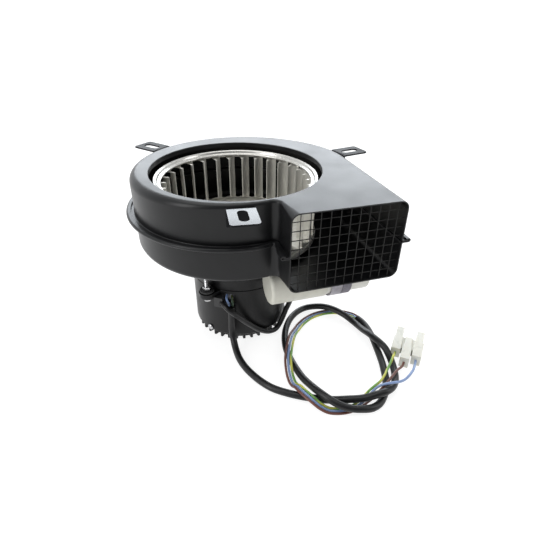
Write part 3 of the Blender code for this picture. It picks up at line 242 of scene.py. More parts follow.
# ---- routes (millimetres) --------------------------------------------------------------------
# Worked out outside this script from picked points, then partly adjusted for clearance.
CABLE_ROUTE = (
    (-20.4, -47.8, 46.0), (-20.4, -47.9, 40.0), (-20.5, -48.1, 34.0), (-20.7, -48.5, 28.0),
    (-21.0, -49.3, 21.0), (-21.0, -51.4, 14.8), (-20.9, -55.0, 9.8), (-20.8, -60.2, 6.1),
    (-20.6, -66.8, 4.1), (-20.1, -75.0, 3.4), (-18.4, -84.4, 3.4), (-15.2, -94.6, 3.4),
    (-9.2, -107.4, 3.4), (-1.4, -118.8, 3.4), (8.4, -127.4, 3.4), (20.0, -135.2, 3.4),
    (32.0, -141.8, 3.4), (38.2, -144.9, 3.5), (46.0, -148.5, 4.6), (56.0, -152.4, 6.2),
    (68.5, -156.2, 7.6), (80.0, -158.2, 10.5), (89.9, -157.6, 10.9), (98.9, -152.8, 8.9),
    (106.9, -144.1, 5.7), (112.8, -133.2, 4.2), (116.4, -122.5, 4.3), (117.6, -114.5, 6.0),
    (117.0, -107.0, 9.2), (114.9, -100.2, 10.8), (112.9, -92.0, 10.7), (111.8, -83.0, 9.3),
    (110.9, -73.5, 6.6), (110.2, -63.0, 4.4), (107.9, -52.6, 4.0), (103.2, -43.2, 5.5),
    (96.4, -34.2, 6.8), (88.7, -26.3, 6.7), (79.6, -20.3, 5.0), (68.3, -18.0, 3.6),
    (56.4, -22.6, 3.4), (45.3, -32.4, 3.4), (36.2, -46.0, 3.4), (30.2, -60.5, 3.4),
    (26.9, -75.0, 3.4), (26.3, -89.3, 3.4), (27.2, -103.4, 3.5), (28.7, -117.4, 4.8),
    (31.0, -130.4, 8.1), (34.0, -141.6, 10.7), (39.4, -151.0, 10.3), (46.2, -157.7, 8.3),
    (54.6, -162.4, 6.6), (63.4, -165.0, 5.8), (72.4, -165.4, 4.2), (81.4, -162.4, 3.4),
    (88.8, -156.3, 3.4), (95.2, -149.0, 3.4), (100.3, -139.8, 3.4), (104.4, -129.5, 3.4),
    (108.1, -118.6, 3.4), (111.2, -106.9, 3.4), (114.0, -95.1, 3.4), (116.6, -83.5, 3.4),
    (118.2, -72.0, 3.4), (118.2, -60.6, 3.4), (115.9, -50.5, 3.4),
)
LEAD_ROUTE = (
    (-28.8, -44.2, 49.7), (-28.1, -45.5, 49.5), (-27.0, -48.9, 49.0), (-24.9, -52.7, 47.4),
    (-21.0, -55.5, 44.2), (-15.6, -55.4, 38.0), (-8.8, -53.6, 29.6), (-1.6, -52.0, 21.4),
    (5.1, -50.8, 14.6), (11.9, -49.2, 9.2), (18.9, -46.8, 5.4), (26.2, -43.4, 4.2),
    (32.0, -39.2, 7.4), (36.4, -36.4, 13.6), (39.4, -36.2, 21.8), (41.0, -38.9, 30.0),
    (40.8, -43.2, 38.0), (39.5, -47.3, 46.0), (38.1, -50.4, 51.7), (38.0, -53.05, 55.85),
)
# the three wires run side by side from the sheath's end
BUNDLE_ROUTE = (
    (115.7, -49.4, 3.2), (113.6, -42.6, 2.0), (108.4, -36.6, 1.25), (101.3, -32.2, 1.25),
    (93.4, -29.6, 1.25), (84.4, -28.9, 1.25), (74.4, -30.4, 1.25), (64.3, -34.3, 1.25),
    (54.4, -40.9, 1.3), (46.8, -48.9, 2.2), (41.6, -56.2, 5.6), (37.0, -63.4, 8.4),
    (32.6, -71.0, 8.6), (28.8, -78.6, 8.6), (25.2, -86.4, 8.6), (22.2, -94.0, 8.5),
    (20.2, -101.4, 6.4), (19.2, -108.6, 3.0), (19.0, -115.6, 1.5), (19.2, -121.8, 3.4),
    (19.8, -127.4, 7.2), (21.0, -133.4, 8.7), (23.4, -139.4, 8.7), (27.0, -145.4, 7.2),
    (31.8, -150.8, 4.0), (37.4, -154.8, 1.6), (43.6, -157.4, 1.25), (50.8, -158.9, 1.25),
    (58.4, -158.7, 1.25), (66.0, -156.6, 1.25), (71.6, -154.2, 1.25),
)
WIRE_TAILS = {
    "wire_brown": ((77.4, -154.9, 1.4), (82.2, -153.3, 3.0), (86.8, -151.9, 6.4),
                   (92.0, -150.2, 9.4), (98.8, -146.6, 11.2), (106.0, -141.6, 10.9),
                   (112.3, -137.2, 9.9), (117.8, -134.0, 8.2), (122.0, -131.2, 6.9),
                   (125.8, -127.2, 6.2)),
    "wire_blue": ((75.9, -151.8, 1.4), (80.4, -149.6, 3.2), (84.2, -149.0, 6.9),
                  (87.8, -150.6, 11.6), (92.6, -153.2, 15.0), (98.7, -154.0, 15.2),
                  (106.0, -152.6, 12.8), (113.4, -149.4, 10.3), (120.6, -145.0, 9.0),
                  (127.8, -139.6, 7.6), (133.4, -133.8, 6.6), (137.95, -128.25, 6.2)),
    "wire_green_yellow": ((74.6, -148.9, 1.4), (80.0, -146.4, 3.0), (86.0, -145.4, 6.6),
                          (92.0, -143.8, 9.0), (98.9, -138.6, 9.2), (105.2, -132.6, 9.2),
                          (111.2, -127.2, 9.8), (115.4, -123.0, 10.6), (119.0, -119.4, 10.0),
                          (122.2, -116.0, 7.4), (125.25, -112.35, 6.2)),
}
WIRE_SLOTS = {"wire_brown": -1, "wire_blue": 0, "wire_green_yellow": 1}
# short wires from the cable's end into the motor's entry
MOTOR_LEADS = {
    "motor_lead_blue": ((-21.8, -47.2, 46.3), (-22.4, -47.0, 49.0), (-23.5, -45.9, 51.8),
                        (-23.7, -43.6, 54.0), (-22.1, -39.9, 54.6)),
    "motor_lead_green": ((-19.1, -48.3, 46.3), (-18.8, -48.2, 49.2), (-18.7, -46.8, 52.0),
                         (-18.3, -44.6, 53.8), (-17.8, -41.9, 54.2)),
}

# ---- finer steps for the looks ---------------------------------------------------------------
SCROLL_STEPS = 150
CURVE_STEPS = 24                    # between two points of a route
FILLET_STEPS = 16
BEND_STEPS = 16
DUCT_STEPS = 10
FOLD_STEPS = 8
HEM_STEPS = 10
INLET_STEPS = 192
LATHE_STEPS = 128
SEAM_FILLET = 0.0007                # inside bend between the wall and its seam flange
EDGE = 0.00022                      # softened edge of cut sheet
BLADE_ARC = math.radians(7.8)       # part of the strip's edge that each blade is bent from
BLADE_BLEND_TOP = 0.0008            # height over which a blade turns out of the strip
BLADE_BLEND_BOTTOM = 0.0030
BLADE_COLUMNS = 8
SLOT_COLUMNS = 6
SLOT_DIP = 0.0007
BLADE_ROWS = 22
BAND_ROWS = 4
TOP_BAND = 0.0014                   # whole edges of the strip as they show past the ring and the plate
BOTTOM_BAND = 0.0012
BOOT_CORNER = 0.0030                # rounded edge of the boot's closed end
MESH_WIRE = 0.00075                 # wire of the mesh, finer than its flat CAD bars
CABLE_SIDES = 28
CABLE_CAP = 0.0004                  # rounding of a cut end
WIRE_SIDES = 14
WIRE_CAP = 0.0002

# ---- view ------------------------------------------------------------------------------------
CAMERA_PLACE = (-0.082894, -0.374922, 0.294810)
CAMERA_AZIMUTH = math.radians(-17.927)
CAMERA_ELEVATION = math.radians(32.751)
CAMERA_ROLL = math.radians(0.886)
CAMERA_LENS = 28.408

# ---- shapes ----------------------------------------------------------------------------------


def heading(angle):
    return Vector((math.cos(angle), math.sin(angle)))


def polar(radius, degrees, height=0.0):
    angle = math.radians(degrees)
    return Vector((radius * math.cos(angle), radius * math.sin(angle), height))


def hoop(bm, centre, radius, side, up, count):
    """A ring of vertices in the plane of two directions."""
    angles = [2 * math.pi * step / count for step in range(count)]
    return [bm.verts.new(centre + radius * (math.cos(a) * side + math.sin(a) * up)) for a in angles]


def bridge(bm, near, far):
    """Faces between two closed rings of vertices."""
    count = len(near)
    return [bm.faces.new((near[k], near[(k + 1) % count], far[(k + 1) % count], far[k]))
            for k in range(count)]


def turned(outline, steps):
    """Solid of revolution about Z. A closed outline of (radius, height), or one from axis to axis."""
    bm = bmesh.new()
    angles = [2 * math.pi * step / steps for step in range(steps)]
    rings = []
    for radius, height in outline:
        if radius == 0:
            rings.append([bm.verts.new((0, 0, height))])
        else:
            rings.append([bm.verts.new((radius * math.cos(a), radius * math.sin(a), height)) for a in angles])
    closing = rings[:1] if outline[0][0] else []
    for near, far in zip(rings, rings[1:] + closing):
        for step in range(steps):
            following = (step + 1) % steps
            corners = [near[step % len(near)], near[following % len(near)],
                       far[following % len(far)], far[step % len(far)]]
            bm.faces.new(list(dict.fromkeys(corners)))
    return bm


def prism(outline, bottom, top, bm=None):
    """Upright prism on a flat outline of (x, y)."""
    bm = bm or bmesh.new()
    low = [bm.verts.new((x, y, bottom)) for x, y in outline]
    high = [bm.verts.new((x, y, top)) for x, y in outline]
    bm.faces.new(low[::-1])
    bm.faces.new(high)
    bridge(bm, low, high)
    return bm


def box(low, high, bm=None):
    corners = ((low[0], low[1]), (high[0], low[1]), (high[0], high[1]), (low[0], high[1]))
    return prism(corners, low[2], high[2], bm)


def stadium(length, width, steps):
    """Slot outline along X, centred."""
    reach = (length - width) / 2
    outline = []
    for side in (1, -1):
        for step in range(steps + 1):
            angle = math.pi * (step / steps - 0.5) + (0 if side > 0 else math.pi)
            outline.append((side * reach + width / 2 * math.cos(angle), width / 2 * math.sin(angle)))
    return outline


def circle(centre, radius, steps=32):
    return [(centre.x + radius * math.cos(2 * math.pi * step / steps),
             centre.y + radius * math.sin(2 * math.pi * step / steps)) for step in range(steps)]


def arc(centre, radius, start, end, steps):
    """Points of an arc in (outward, height), angles in degrees."""
    angles = [math.radians(start + (end - start) * step / steps) for step in range(steps + 1)]
    return [(centre[0] + radius * math.cos(a), centre[1] + radius * math.sin(a)) for a in angles]


def smooth_line(route, spacing):
    """Points at even spacing, in metres, along a smooth curve through a route in millimetres."""
    points = [Vector(point) / 1000 for point in route]
    ends = [2 * points[0] - points[1]] + points + [2 * points[-1] - points[-2]]
    dense = []
    for a, b, c, d in zip(ends, ends[1:], ends[2:], ends[3:]):
        for step in range(CURVE_STEPS):
            t = step / CURVE_STEPS
            dense.append(0.5 * (2 * b + (c - a) * t + (2 * a - 5 * b + 4 * c - d) * t ** 2
                                + (3 * b - a - 3 * c + d) * t ** 3))
    dense.append(points[-1])
    lengths = [0.0]
    for before, after in zip(dense, dense[1:]):
        lengths.append(lengths[-1] + (after - before).length)
    count = max(2, round(lengths[-1] / spacing))
    line, spot = [], 0
    for step in range(count + 1):
        wanted = lengths[-1] * step / count
        while spot < len(dense) - 2 and lengths[spot + 1] < wanted:
            spot += 1
        share = (wanted - lengths[spot]) / (lengths[spot + 1] - lengths[spot])
        line.append(dense[spot].lerp(dense[spot + 1], min(1.0, share)))
    return line


def rounded(outline, radius, closed=False, segments=3):
    """The outline with each corner replaced by a small curve."""
    points = [Vector(point) for point in outline]
    count = len(points)
    result = []
    for spot, corner in enumerate(points):
        if not closed and spot in (0, count - 1):
            result.append(corner)
            continue
        start, end = [corner + (other - corner).normalized() * min(radius, 0.45 * (other - corner).length)
                      for other in (points[spot - 1], points[(spot + 1) % count])]
        for step in range(segments + 1):
            t = step / segments
            result.append(start.lerp(corner, t).lerp(corner.lerp(end, t), t))
    return [(point.x, point.y) for point in result]


def lathe(outline, radius=EDGE, closed=True, steps=LATHE_STEPS):
    """Solid of revolution with softened corners."""
    return turned(rounded(outline, radius, closed), steps)


def new_object(name, bm, finish=None):
    mesh = bpy.data.meshes.new(name)
    bm.to_mesh(mesh)
    bm.free()
    if finish:
        mesh.materials.append(finish.material)
    thing = bpy.data.objects.new(name, mesh)
    bpy.context.collection.objects.link(thing)
    return thing


def place(name, bm, finish=None, location=(0, 0, 0), rotation=(0, 0, 0)):
    """A mesh object in the shared frame, smooth but for its hard edges."""
    bmesh.ops.recalc_face_normals(bm, faces=bm.faces)
    thing = new_object(name, bm, finish)
    thing.location = location
    thing.rotation_euler = rotation
    return smooth(thing)


def smooth(thing, degrees=32):
    thing.data.shade_smooth()
    thing.data.set_sharp_from_angle(angle=math.radians(degrees))
    return thing


def modify(thing, kind, **settings):
    """Put a modifier's result into the object's mesh."""
    step = thing.modifiers.new(kind.lower(), kind)
    for name, value in settings.items():
        setattr(step, name, value)
    bpy.context.view_layer.update()
    graph = bpy.context.evaluated_depsgraph_get()
    mesh = bpy.data.meshes.new_from_object(thing.evaluated_get(graph))
    thing.modifiers.clear()
    thing.data = mesh
    return thing


def combine(target, tool, operation):
    modify(target, "BOOLEAN", operation=operation, solver="EXACT", object=tool)
    bpy.data.objects.remove(tool, do_unlink=True)
    smooth(target)


def soften(thing, width=EDGE, segments=2, degrees=40):
    """A small bevel on the hard edges, with normals that keep flat faces flat."""
    modify(thing, "BEVEL", width=width, segments=segments, limit_method="ANGLE",
           angle_limit=math.radians(degrees), use_clamp_overlap=True)
    return weigh(smooth(thing, 60))


def weigh(thing):
    return modify(thing, "WEIGHTED_NORMAL", keep_sharp=True, weight=60)


def show(thing, body, slot, *nodes):
    """The piece rides a body and stands for these CAD nodes, which are hidden. The slot argument is not used.
    """
    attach(thing, body)
    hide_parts(*nodes)
    return thing


def sweep_tube(name, line, radius, finish, sides, cap):
    """Round tube along a line of points, with U round it and V along it in metres."""
    bm = bmesh.new()
    uv = bm.loops.layers.uv.new("UVMap")
    last = len(line) - 1
    side = (line[1] - line[0]).normalized().orthogonal().normalized()
    travelled = 0.0
    rings = []
    for count, point in enumerate(line):
        before = line[max(count - 1, 0)]
        ahead = (line[min(count + 1, last)] - before).normalized()
        side = (side - ahead * side.dot(ahead)).normalized()
        up = ahead.cross(side)
        travelled += (point - before).length
        shift = cap if count == 0 else -cap if count == last else 0.0
        stations = [(point + ahead * shift, radius, travelled + shift)]
        if count == 0:
            stations.insert(0, (point, radius - cap, travelled))
        elif count == last:
            stations.append((point, radius - cap, travelled))
        for centre, size, along in stations:
            rings.append((hoop(bm, centre, size, side, up, sides), along))
    for (near, low), (far, high) in zip(rings, rings[1:]):
        for k, face in enumerate(bridge(bm, near, far)):
            for loop, (u, v) in zip(face.loops, ((k, low), (k + 1, low), (k + 1, high), (k, high))):
                loop[uv].uv = (u / sides, v)
    for ring in (rings[0][0][::-1], rings[-1][0]):
        for loop in bm.faces.new(ring).loops:
            loop[uv].uv = (0.5, 0.0)
    return place(name, bm, finish)


# ---- materials -------------------------------------------------------------------------------


def add_node(tree, kind, inputs, **settings):
    """A new shader node. Each input gets a value, or a link from another node's output."""
    made = tree.nodes.new(kind)
    for name, value in settings.items():
        setattr(made, name, value)
    for name, value in inputs.items():
        if isinstance(value, bpy.types.NodeSocket):
            tree.links.new(value, made.inputs[name])
        else:
            made.inputs[name].default_value = value
    return made


class Finish:
    """A Principled material whose colour, gloss and relief vary with procedural noise."""

    def __init__(self, name, colour, roughness, metallic=0.0):
        self.material = bpy.data.materials.new(name)
        self.material.use_nodes = True
        self.tree = self.material.node_tree
        self.inputs = self.tree.nodes["Principled BSDF"].inputs
        self.inputs["Metallic"].default_value = metallic
        self.colour = colour
        self.roughness = roughness
        self.coordinates = self.tree.nodes.new("ShaderNodeTexCoord").outputs["Object"]

    def feed(self, output, name):
        self.tree.links.new(output, self.inputs[name])

    def noise(self, scale, detail=3.0, stretch=(1, 1, 1)):
        mapping = add_node(self.tree, "ShaderNodeMapping", {"Scale": stretch, "Vector": self.coordinates})
        texture = add_node(self.tree, "ShaderNodeTexNoise",
                           {"Scale": scale, "Detail": detail, "Vector": mapping.outputs["Vector"]})
        return texture.outputs["Fac"]

    def tint(self, factor, spread):
        """Colour runs from a darker to a lighter tone as the factor goes from low to high."""
        ramp = add_node(self.tree, "ShaderNodeValToRGB", {"Fac": factor})
        low, high = ramp.color_ramp.elements
        low.position, high.position = 0.35, 0.68
        low.color = (*(c * (1 - spread) for c in self.colour), 1)
        high.color = (*(min(1.0, c * (1 + spread)) for c in self.colour), 1)
        self.feed(ramp.outputs["Color"], "Base Color")

    def gloss(self, factor, spread):
        scale = add_node(self.tree, "ShaderNodeMapRange", {
            "From Min": 0.3, "From Max": 0.7, "To Min": max(0.02, self.roughness - spread),
            "To Max": self.roughness + spread, "Value": factor})
        self.feed(scale.outputs["Result"], "Roughness")

    def relief(self, factor, height):
        bump = add_node(self.tree, "ShaderNodeBump", {"Strength": 1.0, "Distance": height, "Height": factor})
        self.feed(bump.outputs["Normal"], "Normal")


def surface(name, colour, roughness, metallic=0.0, specular=0.5, grain=400, spread=0.12, gloss=0.06,
            relief=0.00002, relief_grain=1800, stretch=(1, 1, 1)):
    finish = Finish(name, colour, roughness, metallic)
    finish.inputs["Specular IOR Level"].default_value = specular
    finish.tint(finish.noise(grain, 4.0, stretch), spread)
    finish.gloss(finish.noise(grain * 0.45, 5.0, stretch), gloss)
    finish.relief(finish.noise(relief_grain, 2.0, stretch), relief)
    return finish


def paint_sheen_on_top(finish, side, top):
    """Painted sheen: gives the faces that look up another specular level than the sides, so the top shines
    brighter than the light alone makes it.
    """
    where = finish.tree.nodes.new("ShaderNodeNewGeometry")
    axes = add_node(finish.tree, "ShaderNodeSeparateXYZ", {"Vector": where.outputs["Normal"]})
    level = add_node(finish.tree, "ShaderNodeMapRange", {
        "From Min": 0.6, "From Max": 0.9, "To Min": side, "To Max": top, "Value": axes.outputs["Z"]})
    finish.feed(level.outputs["Result"], "Specular IOR Level")


def striped_wire(name, colour, stripe, share, turns_per_metre):
    """Wire insulation in one colour, with a spiral stripe that takes this share of its girth."""
    finish = Finish(name, colour, 0.38)
    tree = finish.tree
    uv = tree.nodes.new("ShaderNodeTexCoord").outputs["UV"]
    split = add_node(tree, "ShaderNodeSeparateXYZ", {"Vector": uv}).outputs
    twist = add_node(tree, "ShaderNodeMath", {0: split["Y"], 1: turns_per_metre, 2: split["X"]},
                     operation="MULTIPLY_ADD")
    wrap = add_node(tree, "ShaderNodeMath", {0: twist.outputs["Value"]}, operation="FRACT")
    edge = add_node(tree, "ShaderNodeMapRange", {
        "From Min": share - 0.02, "From Max": share + 0.02, "Value": wrap.outputs["Value"]})
    mix = add_node(tree, "ShaderNodeMix", {
        "Factor": edge.outputs["Result"], "A": (*stripe, 1), "B": (*colour, 1)}, data_type="RGBA")
    finish.feed(mix.outputs["Result"], "Base Color")
    finish.gloss(finish.noise(600), 0.06)
    finish.relief(finish.noise(2500), 0.00001)
    return finish


PAINT = surface("satin_black_paint", (0.0070, 0.0072, 0.0078), 0.34, specular=0.30, grain=90, spread=0.10,
                gloss=0.03, relief=0.000012, relief_grain=1500)
# Painted shade: a duller copy of the black paint, with a low specular level, that keeps the left and right
# ears darker.
EAR_PAINTED_SHADE = surface("ear_black_paint_painted_shade", (0.010, 0.010, 0.011), 0.46, specular=0.10, grain=120, gloss=0.04,
                    relief_grain=1500)
# Painted sheen: a glossier copy of the ear paint whose top face shines, standing in for the brighter
# reflection off the front ear.
FRONT_EAR_PAINTED_SHEEN = surface("front_ear_paint_painted_sheen", (0.008, 0.0085, 0.010), 0.22, grain=120, spread=0.08,
                          gloss=0.03, relief=0.00001, relief_grain=1500)
paint_sheen_on_top(FRONT_EAR_PAINTED_SHEEN, 0.08, 0.80)
MOTOR_PAINT = surface("cast_black_paint", (0.0065, 0.0065, 0.007), 0.36, specular=0.28, grain=220,
                      spread=0.15, gloss=0.05, relief=0.00004, relief_grain=1400)
WHEEL = surface("aluminised_sheet", (0.76, 0.745, 0.69), 0.36, 0.50, grain=320, spread=0.07, gloss=0.07,
                relief=0.000015, relief_grain=2400, stretch=(1, 1, 0.25))
RING = surface("rolled_ring_sheet", (0.54, 0.53, 0.50), 0.30, 0.85, grain=320, spread=0.06,
               relief=0.000012, relief_grain=2400)
HUB = surface("machined_aluminium", (0.66, 0.66, 0.67), 0.34, 1.0, grain=700, stretch=(0.3, 0.3, 3))
STEEL = surface("bright_steel", (0.60, 0.60, 0.61), 0.28, 1.0, grain=900, gloss=0.08)
WIRE_MESH = surface("dark_mesh_wire", (0.016, 0.016, 0.015), 0.42, specular=0.22, grain=500, spread=0.2)
LAMINATION = surface("stacked_laminations", (0.25, 0.25, 0.27), 0.5, 1.0, grain=300, stretch=(0.1, 0.1, 12),
                     spread=0.3, relief=0.00006, relief_grain=900)
WINDING = surface("enamelled_copper", (0.48, 0.17, 0.06), 0.36, 0.8, grain=700, stretch=(0.3, 0.3, 4),
                  spread=0.25, relief=0.00012, relief_grain=1100)
BLACK_PLASTIC = surface("moulded_black_plastic", (0.022, 0.022, 0.023), 0.46, grain=500, relief=0.00003)
SHEATH = surface("black_cable_sheath", (0.0095, 0.0095, 0.0100), 0.36, specular=0.36, grain=240, spread=0.16,
                 gloss=0.05, relief=0.00003, relief_grain=1300)
RUBBER = surface("black_rubber", (0.024, 0.024, 0.025), 0.72, grain=600, spread=0.2, relief=0.00004)
CREAM = surface("cream_boot_plastic", (0.60, 0.59, 0.52), 0.42, grain=160, spread=0.035, gloss=0.05,
                relief_grain=1500)
CAN = surface("white_can_plastic", (0.68, 0.67, 0.62), 0.40, grain=160, spread=0.03, gloss=0.05,
              relief=0.000015, relief_grain=1500)
ZINC = surface("zinc_plated_steel", (0.34, 0.325, 0.36), 0.38, 0.5, grain=260, gloss=0.08)
PAD = surface("lilac_grey_pad", (0.17, 0.16, 0.19), 0.6, grain=600, relief=0.00003)
NYLON = surface("milky_nylon", (0.66, 0.655, 0.59), 0.30, grain=200, spread=0.03, gloss=0.05,
                relief_grain=1200)
NYLON.inputs["Subsurface Weight"].default_value = 0.35
NYLON.inputs["Subsurface Radius"].default_value = (1.0, 0.9, 0.7)
NYLON.inputs["Subsurface Scale"].default_value = 0.0025
BRASS = surface("stamped_brass", (0.72, 0.52, 0.24), 0.3, 1.0, grain=700)
BROWN_WIRE = striped_wire("brown_insulation", (0.13, 0.048, 0.034), (0.16, 0.06, 0.042), 0.25, 20)
BLUE_WIRE = striped_wire("blue_insulation", (0.21, 0.30, 0.52), (0.25, 0.35, 0.56), 0.25, 20)
# Painted shade: a much darker copy of the green-yellow insulation for the motor's short green lead under the
# housing.
GREEN_WIRE_PAINTED_SHADE = striped_wire("green_insulation_painted_shade", (0.02, 0.05, 0.025), (0.05, 0.06, 0.02), 0.40, 60)
GREEN_WIRE = striped_wire("green_yellow_insulation", (0.17, 0.36, 0.08), (0.54, 0.54, 0.09), 0.50, 32)

# ---- housing ---------------------------------------------------------------------------------


def scroll_point(angle):
    """A point of the scroll's outer face, and the direction that points out of it."""
    radius = SCROLL_START_RADIUS + SCROLL_GROWTH * (SCROLL_START_ANGLE - angle)
    outward = heading(angle)
    along = Vector((-outward.y, outward.x))
    return radius * outward, (radius * outward + SCROLL_GROWTH * along).normalized()


def cutoff_angle():
    """Where the cutoff fillet, tangent to the duct's left wall, meets the scroll."""
    low, high = math.radians(-100), math.radians(-60)
    for _ in range(50):
        middle = (low + high) / 2
        point, normal = scroll_point(middle)
        if point.x + CUTOFF_RADIUS * normal.x < OUTLET_LEFT - CUTOFF_RADIUS:
            low = middle
        else:
            high = middle
    return low


def side_bend():
    """Centre and radius of the arc that leads from the scroll's end into the duct's right wall."""
    point, normal = scroll_point(SCROLL_END_ANGLE)
    radius = (OUTLET_RIGHT - point.x) / (1 - normal.x)
    return point - radius * normal, radius


def wall_at(degrees):
    """The side wall's point and outward direction at a polar angle, on the scroll or the bend."""
    angle = math.radians(degrees)
    scroll_angle = angle - 2 * math.pi if angle > SCROLL_START_ANGLE else angle
    if scroll_angle >= SCROLL_END_ANGLE:
        return scroll_point(scroll_angle)
    bend, radius = side_bend()
    along = heading(angle)
    reach = along.dot(bend)
    point = along * (reach + math.sqrt(reach ** 2 - bend.length_squared + radius ** 2))
    return point, (point - bend).normalized()


def wall_path():
    """The side wall in plan: (outer point, outward direction, fold radius, flange width)."""
    start = cutoff_angle()
    point, normal = scroll_point(start)
    fillet = point + CUTOFF_RADIUS * normal
    bend, bend_radius = side_bend()
    path = []

    def add(spot, direction, fold, from_fillet):
        share = min(1.0, from_fillet / FLANGE_TAPER)
        width = FLANGE_NARROW + (FLANGE_WIDTH - FLANGE_NARROW) * share ** 2 * (3 - 2 * share)
        path.append((Vector(spot), Vector(direction), fold, width))

    for step in range(DUCT_STEPS):
        y = OUTLET_Y + (fillet.y - OUTLET_Y) * step / DUCT_STEPS
        fold = FOLD_LARGE + (FOLD_SMALL - FOLD_LARGE) * step / DUCT_STEPS
        add((OUTLET_LEFT, y), (-1, 0), fold, fillet.y - y)
    sweep = math.atan2(-normal.y, -normal.x)
    for step in range(FILLET_STEPS):
        direction = heading(sweep * step / FILLET_STEPS)
        add(fillet + CUTOFF_RADIUS * direction, -direction, FOLD_SMALL, 0.0)
    for step in range(SCROLL_STEPS):
        angle = start + (SCROLL_END_ANGLE - start) * step / SCROLL_STEPS
        share = min(1.0, (start - angle) / FOLD_RISE_ANGLE)
        fold = FOLD_SMALL + (FOLD_LARGE - FOLD_SMALL) * share
        add(*scroll_point(angle), fold, SCROLL_START_RADIUS * (start - angle))
    _, end_normal = scroll_point(SCROLL_END_ANGLE)
    final = math.atan2(end_normal.y, end_normal.x)
    for step in range(BEND_STEPS):
        direction = heading(final * (1 - step / BEND_STEPS))
        add(bend + bend_radius * direction, direction, FOLD_LARGE, FLANGE_TAPER)
    for step in range(DUCT_STEPS + 1):
        y = bend.y + (OUTLET_Y - bend.y) * step / DUCT_STEPS
        add((OUTLET_RIGHT, y), (1, 0), FOLD_LARGE, FLANGE_TAPER)
    return path


def pressed_shell(name, rows, hole_rows, facing):
    """A sheet swept along the side wall, a flat plate with a round hole, and the hole's edge."""
    bm = bmesh.new()
    grid = []
    for point, direction, fold, width in wall_path():
        spots = [(point + outward * direction, height) for outward, height in rows(fold, width)]
        grid.append([bm.verts.new((spot.x, spot.y, height)) for spot, height in spots])
    for near, far in zip(grid, grid[1:]):
        for step in range(len(near) - 1):
            bm.faces.new((near[step], far[step], far[step + 1], near[step + 1]))
    rings = [[bm.verts.new(polar(radius, 360 * step / INLET_STEPS, height)) for step in range(INLET_STEPS)]
             for radius, height in hole_rows]
    for near, far in zip(rings, rings[1:]):
        bridge(bm, near, far)
    rim = [line[-1] for line in grid]
    hole = rings[0]
    pairs = list(zip(rim, rim[1:] + rim[:1])) + list(zip(hole, hole[1:] + hole[:1]))
    edges = [bm.edges.get(pair) or bm.edges.new(pair) for pair in pairs]
    filled = bmesh.ops.triangle_fill(bm, use_beauty=True, edges=edges, normal=(0, 0, facing))
    bmesh.ops.recalc_face_normals(bm, faces=bm.faces)
    plate = [face for face in filled["geom"] if isinstance(face, bmesh.types.BMFace)]
    if plate[0].normal.z * facing < 0:
        bmesh.ops.reverse_faces(bm, faces=bm.faces)
    shell = new_object(name, bm, PAINT)
    modify(shell, "SOLIDIFY", thickness=SHEET, offset=-1, use_even_offset=True, use_quality_normals=True)
    return weigh(smooth(shell, 50))


def fold_rows(fold, plate_height, facing):
    angles = [math.radians(90 * step / FOLD_STEPS) for step in range(FOLD_STEPS + 1)]
    return [(-fold * (1 - math.cos(a)), plate_height - facing * fold * (1 - math.sin(a))) for a in angles]


def upper_shell():
    seam = HOUSING_TOP - SEAM_DEPTH + GAP / 2 + SHEET

    def rows(fold, width):
        edge = width - HEM_RADIUS - GAP
        inside = arc((SEAM_FILLET, seam + SEAM_FILLET), SEAM_FILLET, 270, 180, 4)
        return [(edge, seam)] + inside + fold_rows(fold, HOUSING_TOP, 1)

    lip = INLET_LIP_RADIUS
    hole_rows = [(INLET_RADIUS + lip * (1 - math.sin(a)), HOUSING_TOP - lip * (1 - math.cos(a)))
                 for a in (math.radians(15 * step) for step in range(7))]
    hole_rows.append((INLET_RADIUS, HOUSING_TOP - INLET_LIP_DEPTH))
    return pressed_shell("upper_shell", rows, hole_rows, 1)


def lower_shell():
    seam = HOUSING_TOP - SEAM_DEPTH - GAP / 2 - SHEET

    def rows(fold, width):
        centre = width - HEM_RADIUS
        hem = [(centre - HEM_RETURN, seam + 2 * HEM_RADIUS)]
        hem += arc((centre, seam + HEM_RADIUS), HEM_RADIUS, 90, -90, HEM_STEPS)
        inside = arc((SEAM_FILLET, seam - SEAM_FILLET), SEAM_FILLET, 90, 180, 4)
        return hem + inside + fold_rows(fold, HOUSING_FLOOR, -1)

    return pressed_shell("lower_shell", rows, [(MOTOR_OPENING_RADIUS, HOUSING_FLOOR)], -1)


def outlet_grille():
    """Welded mesh of round wires: upright ones in front, level ones behind."""
    inset = SHEET + GAP
    radius = MESH_WIRE / 2
    y = OUTLET_Y + GRILLE_SETBACK + radius
    behind = y + radius * 1.4
    bm = bmesh.new()

    def wire(start, end):
        side = (end - start).normalized().orthogonal().normalized()
        up = (end - start).normalized().cross(side)
        near, far = [hoop(bm, point, radius, side, up, 12) for point in (start, end)]
        bridge(bm, near, far)
        bm.faces.new(near[::-1])
        bm.faces.new(far)

    for count in range(1, GRILLE_COLUMNS + 1):
        x = OUTLET_LEFT + (OUTLET_RIGHT - OUTLET_LEFT) * count / (GRILLE_COLUMNS + 1)
        wire(Vector((x, y, HOUSING_FLOOR + inset)), Vector((x, y, HOUSING_TOP - inset)))
    for count in range(1, GRILLE_ROWS + 1):
        z = HOUSING_FLOOR + HOUSING_HEIGHT * count / (GRILLE_ROWS + 1)
        wire(Vector((OUTLET_LEFT + inset, behind, z)), Vector((OUTLET_RIGHT - inset, behind, z)))
    return place("outlet_mesh", bm, WIRE_MESH)


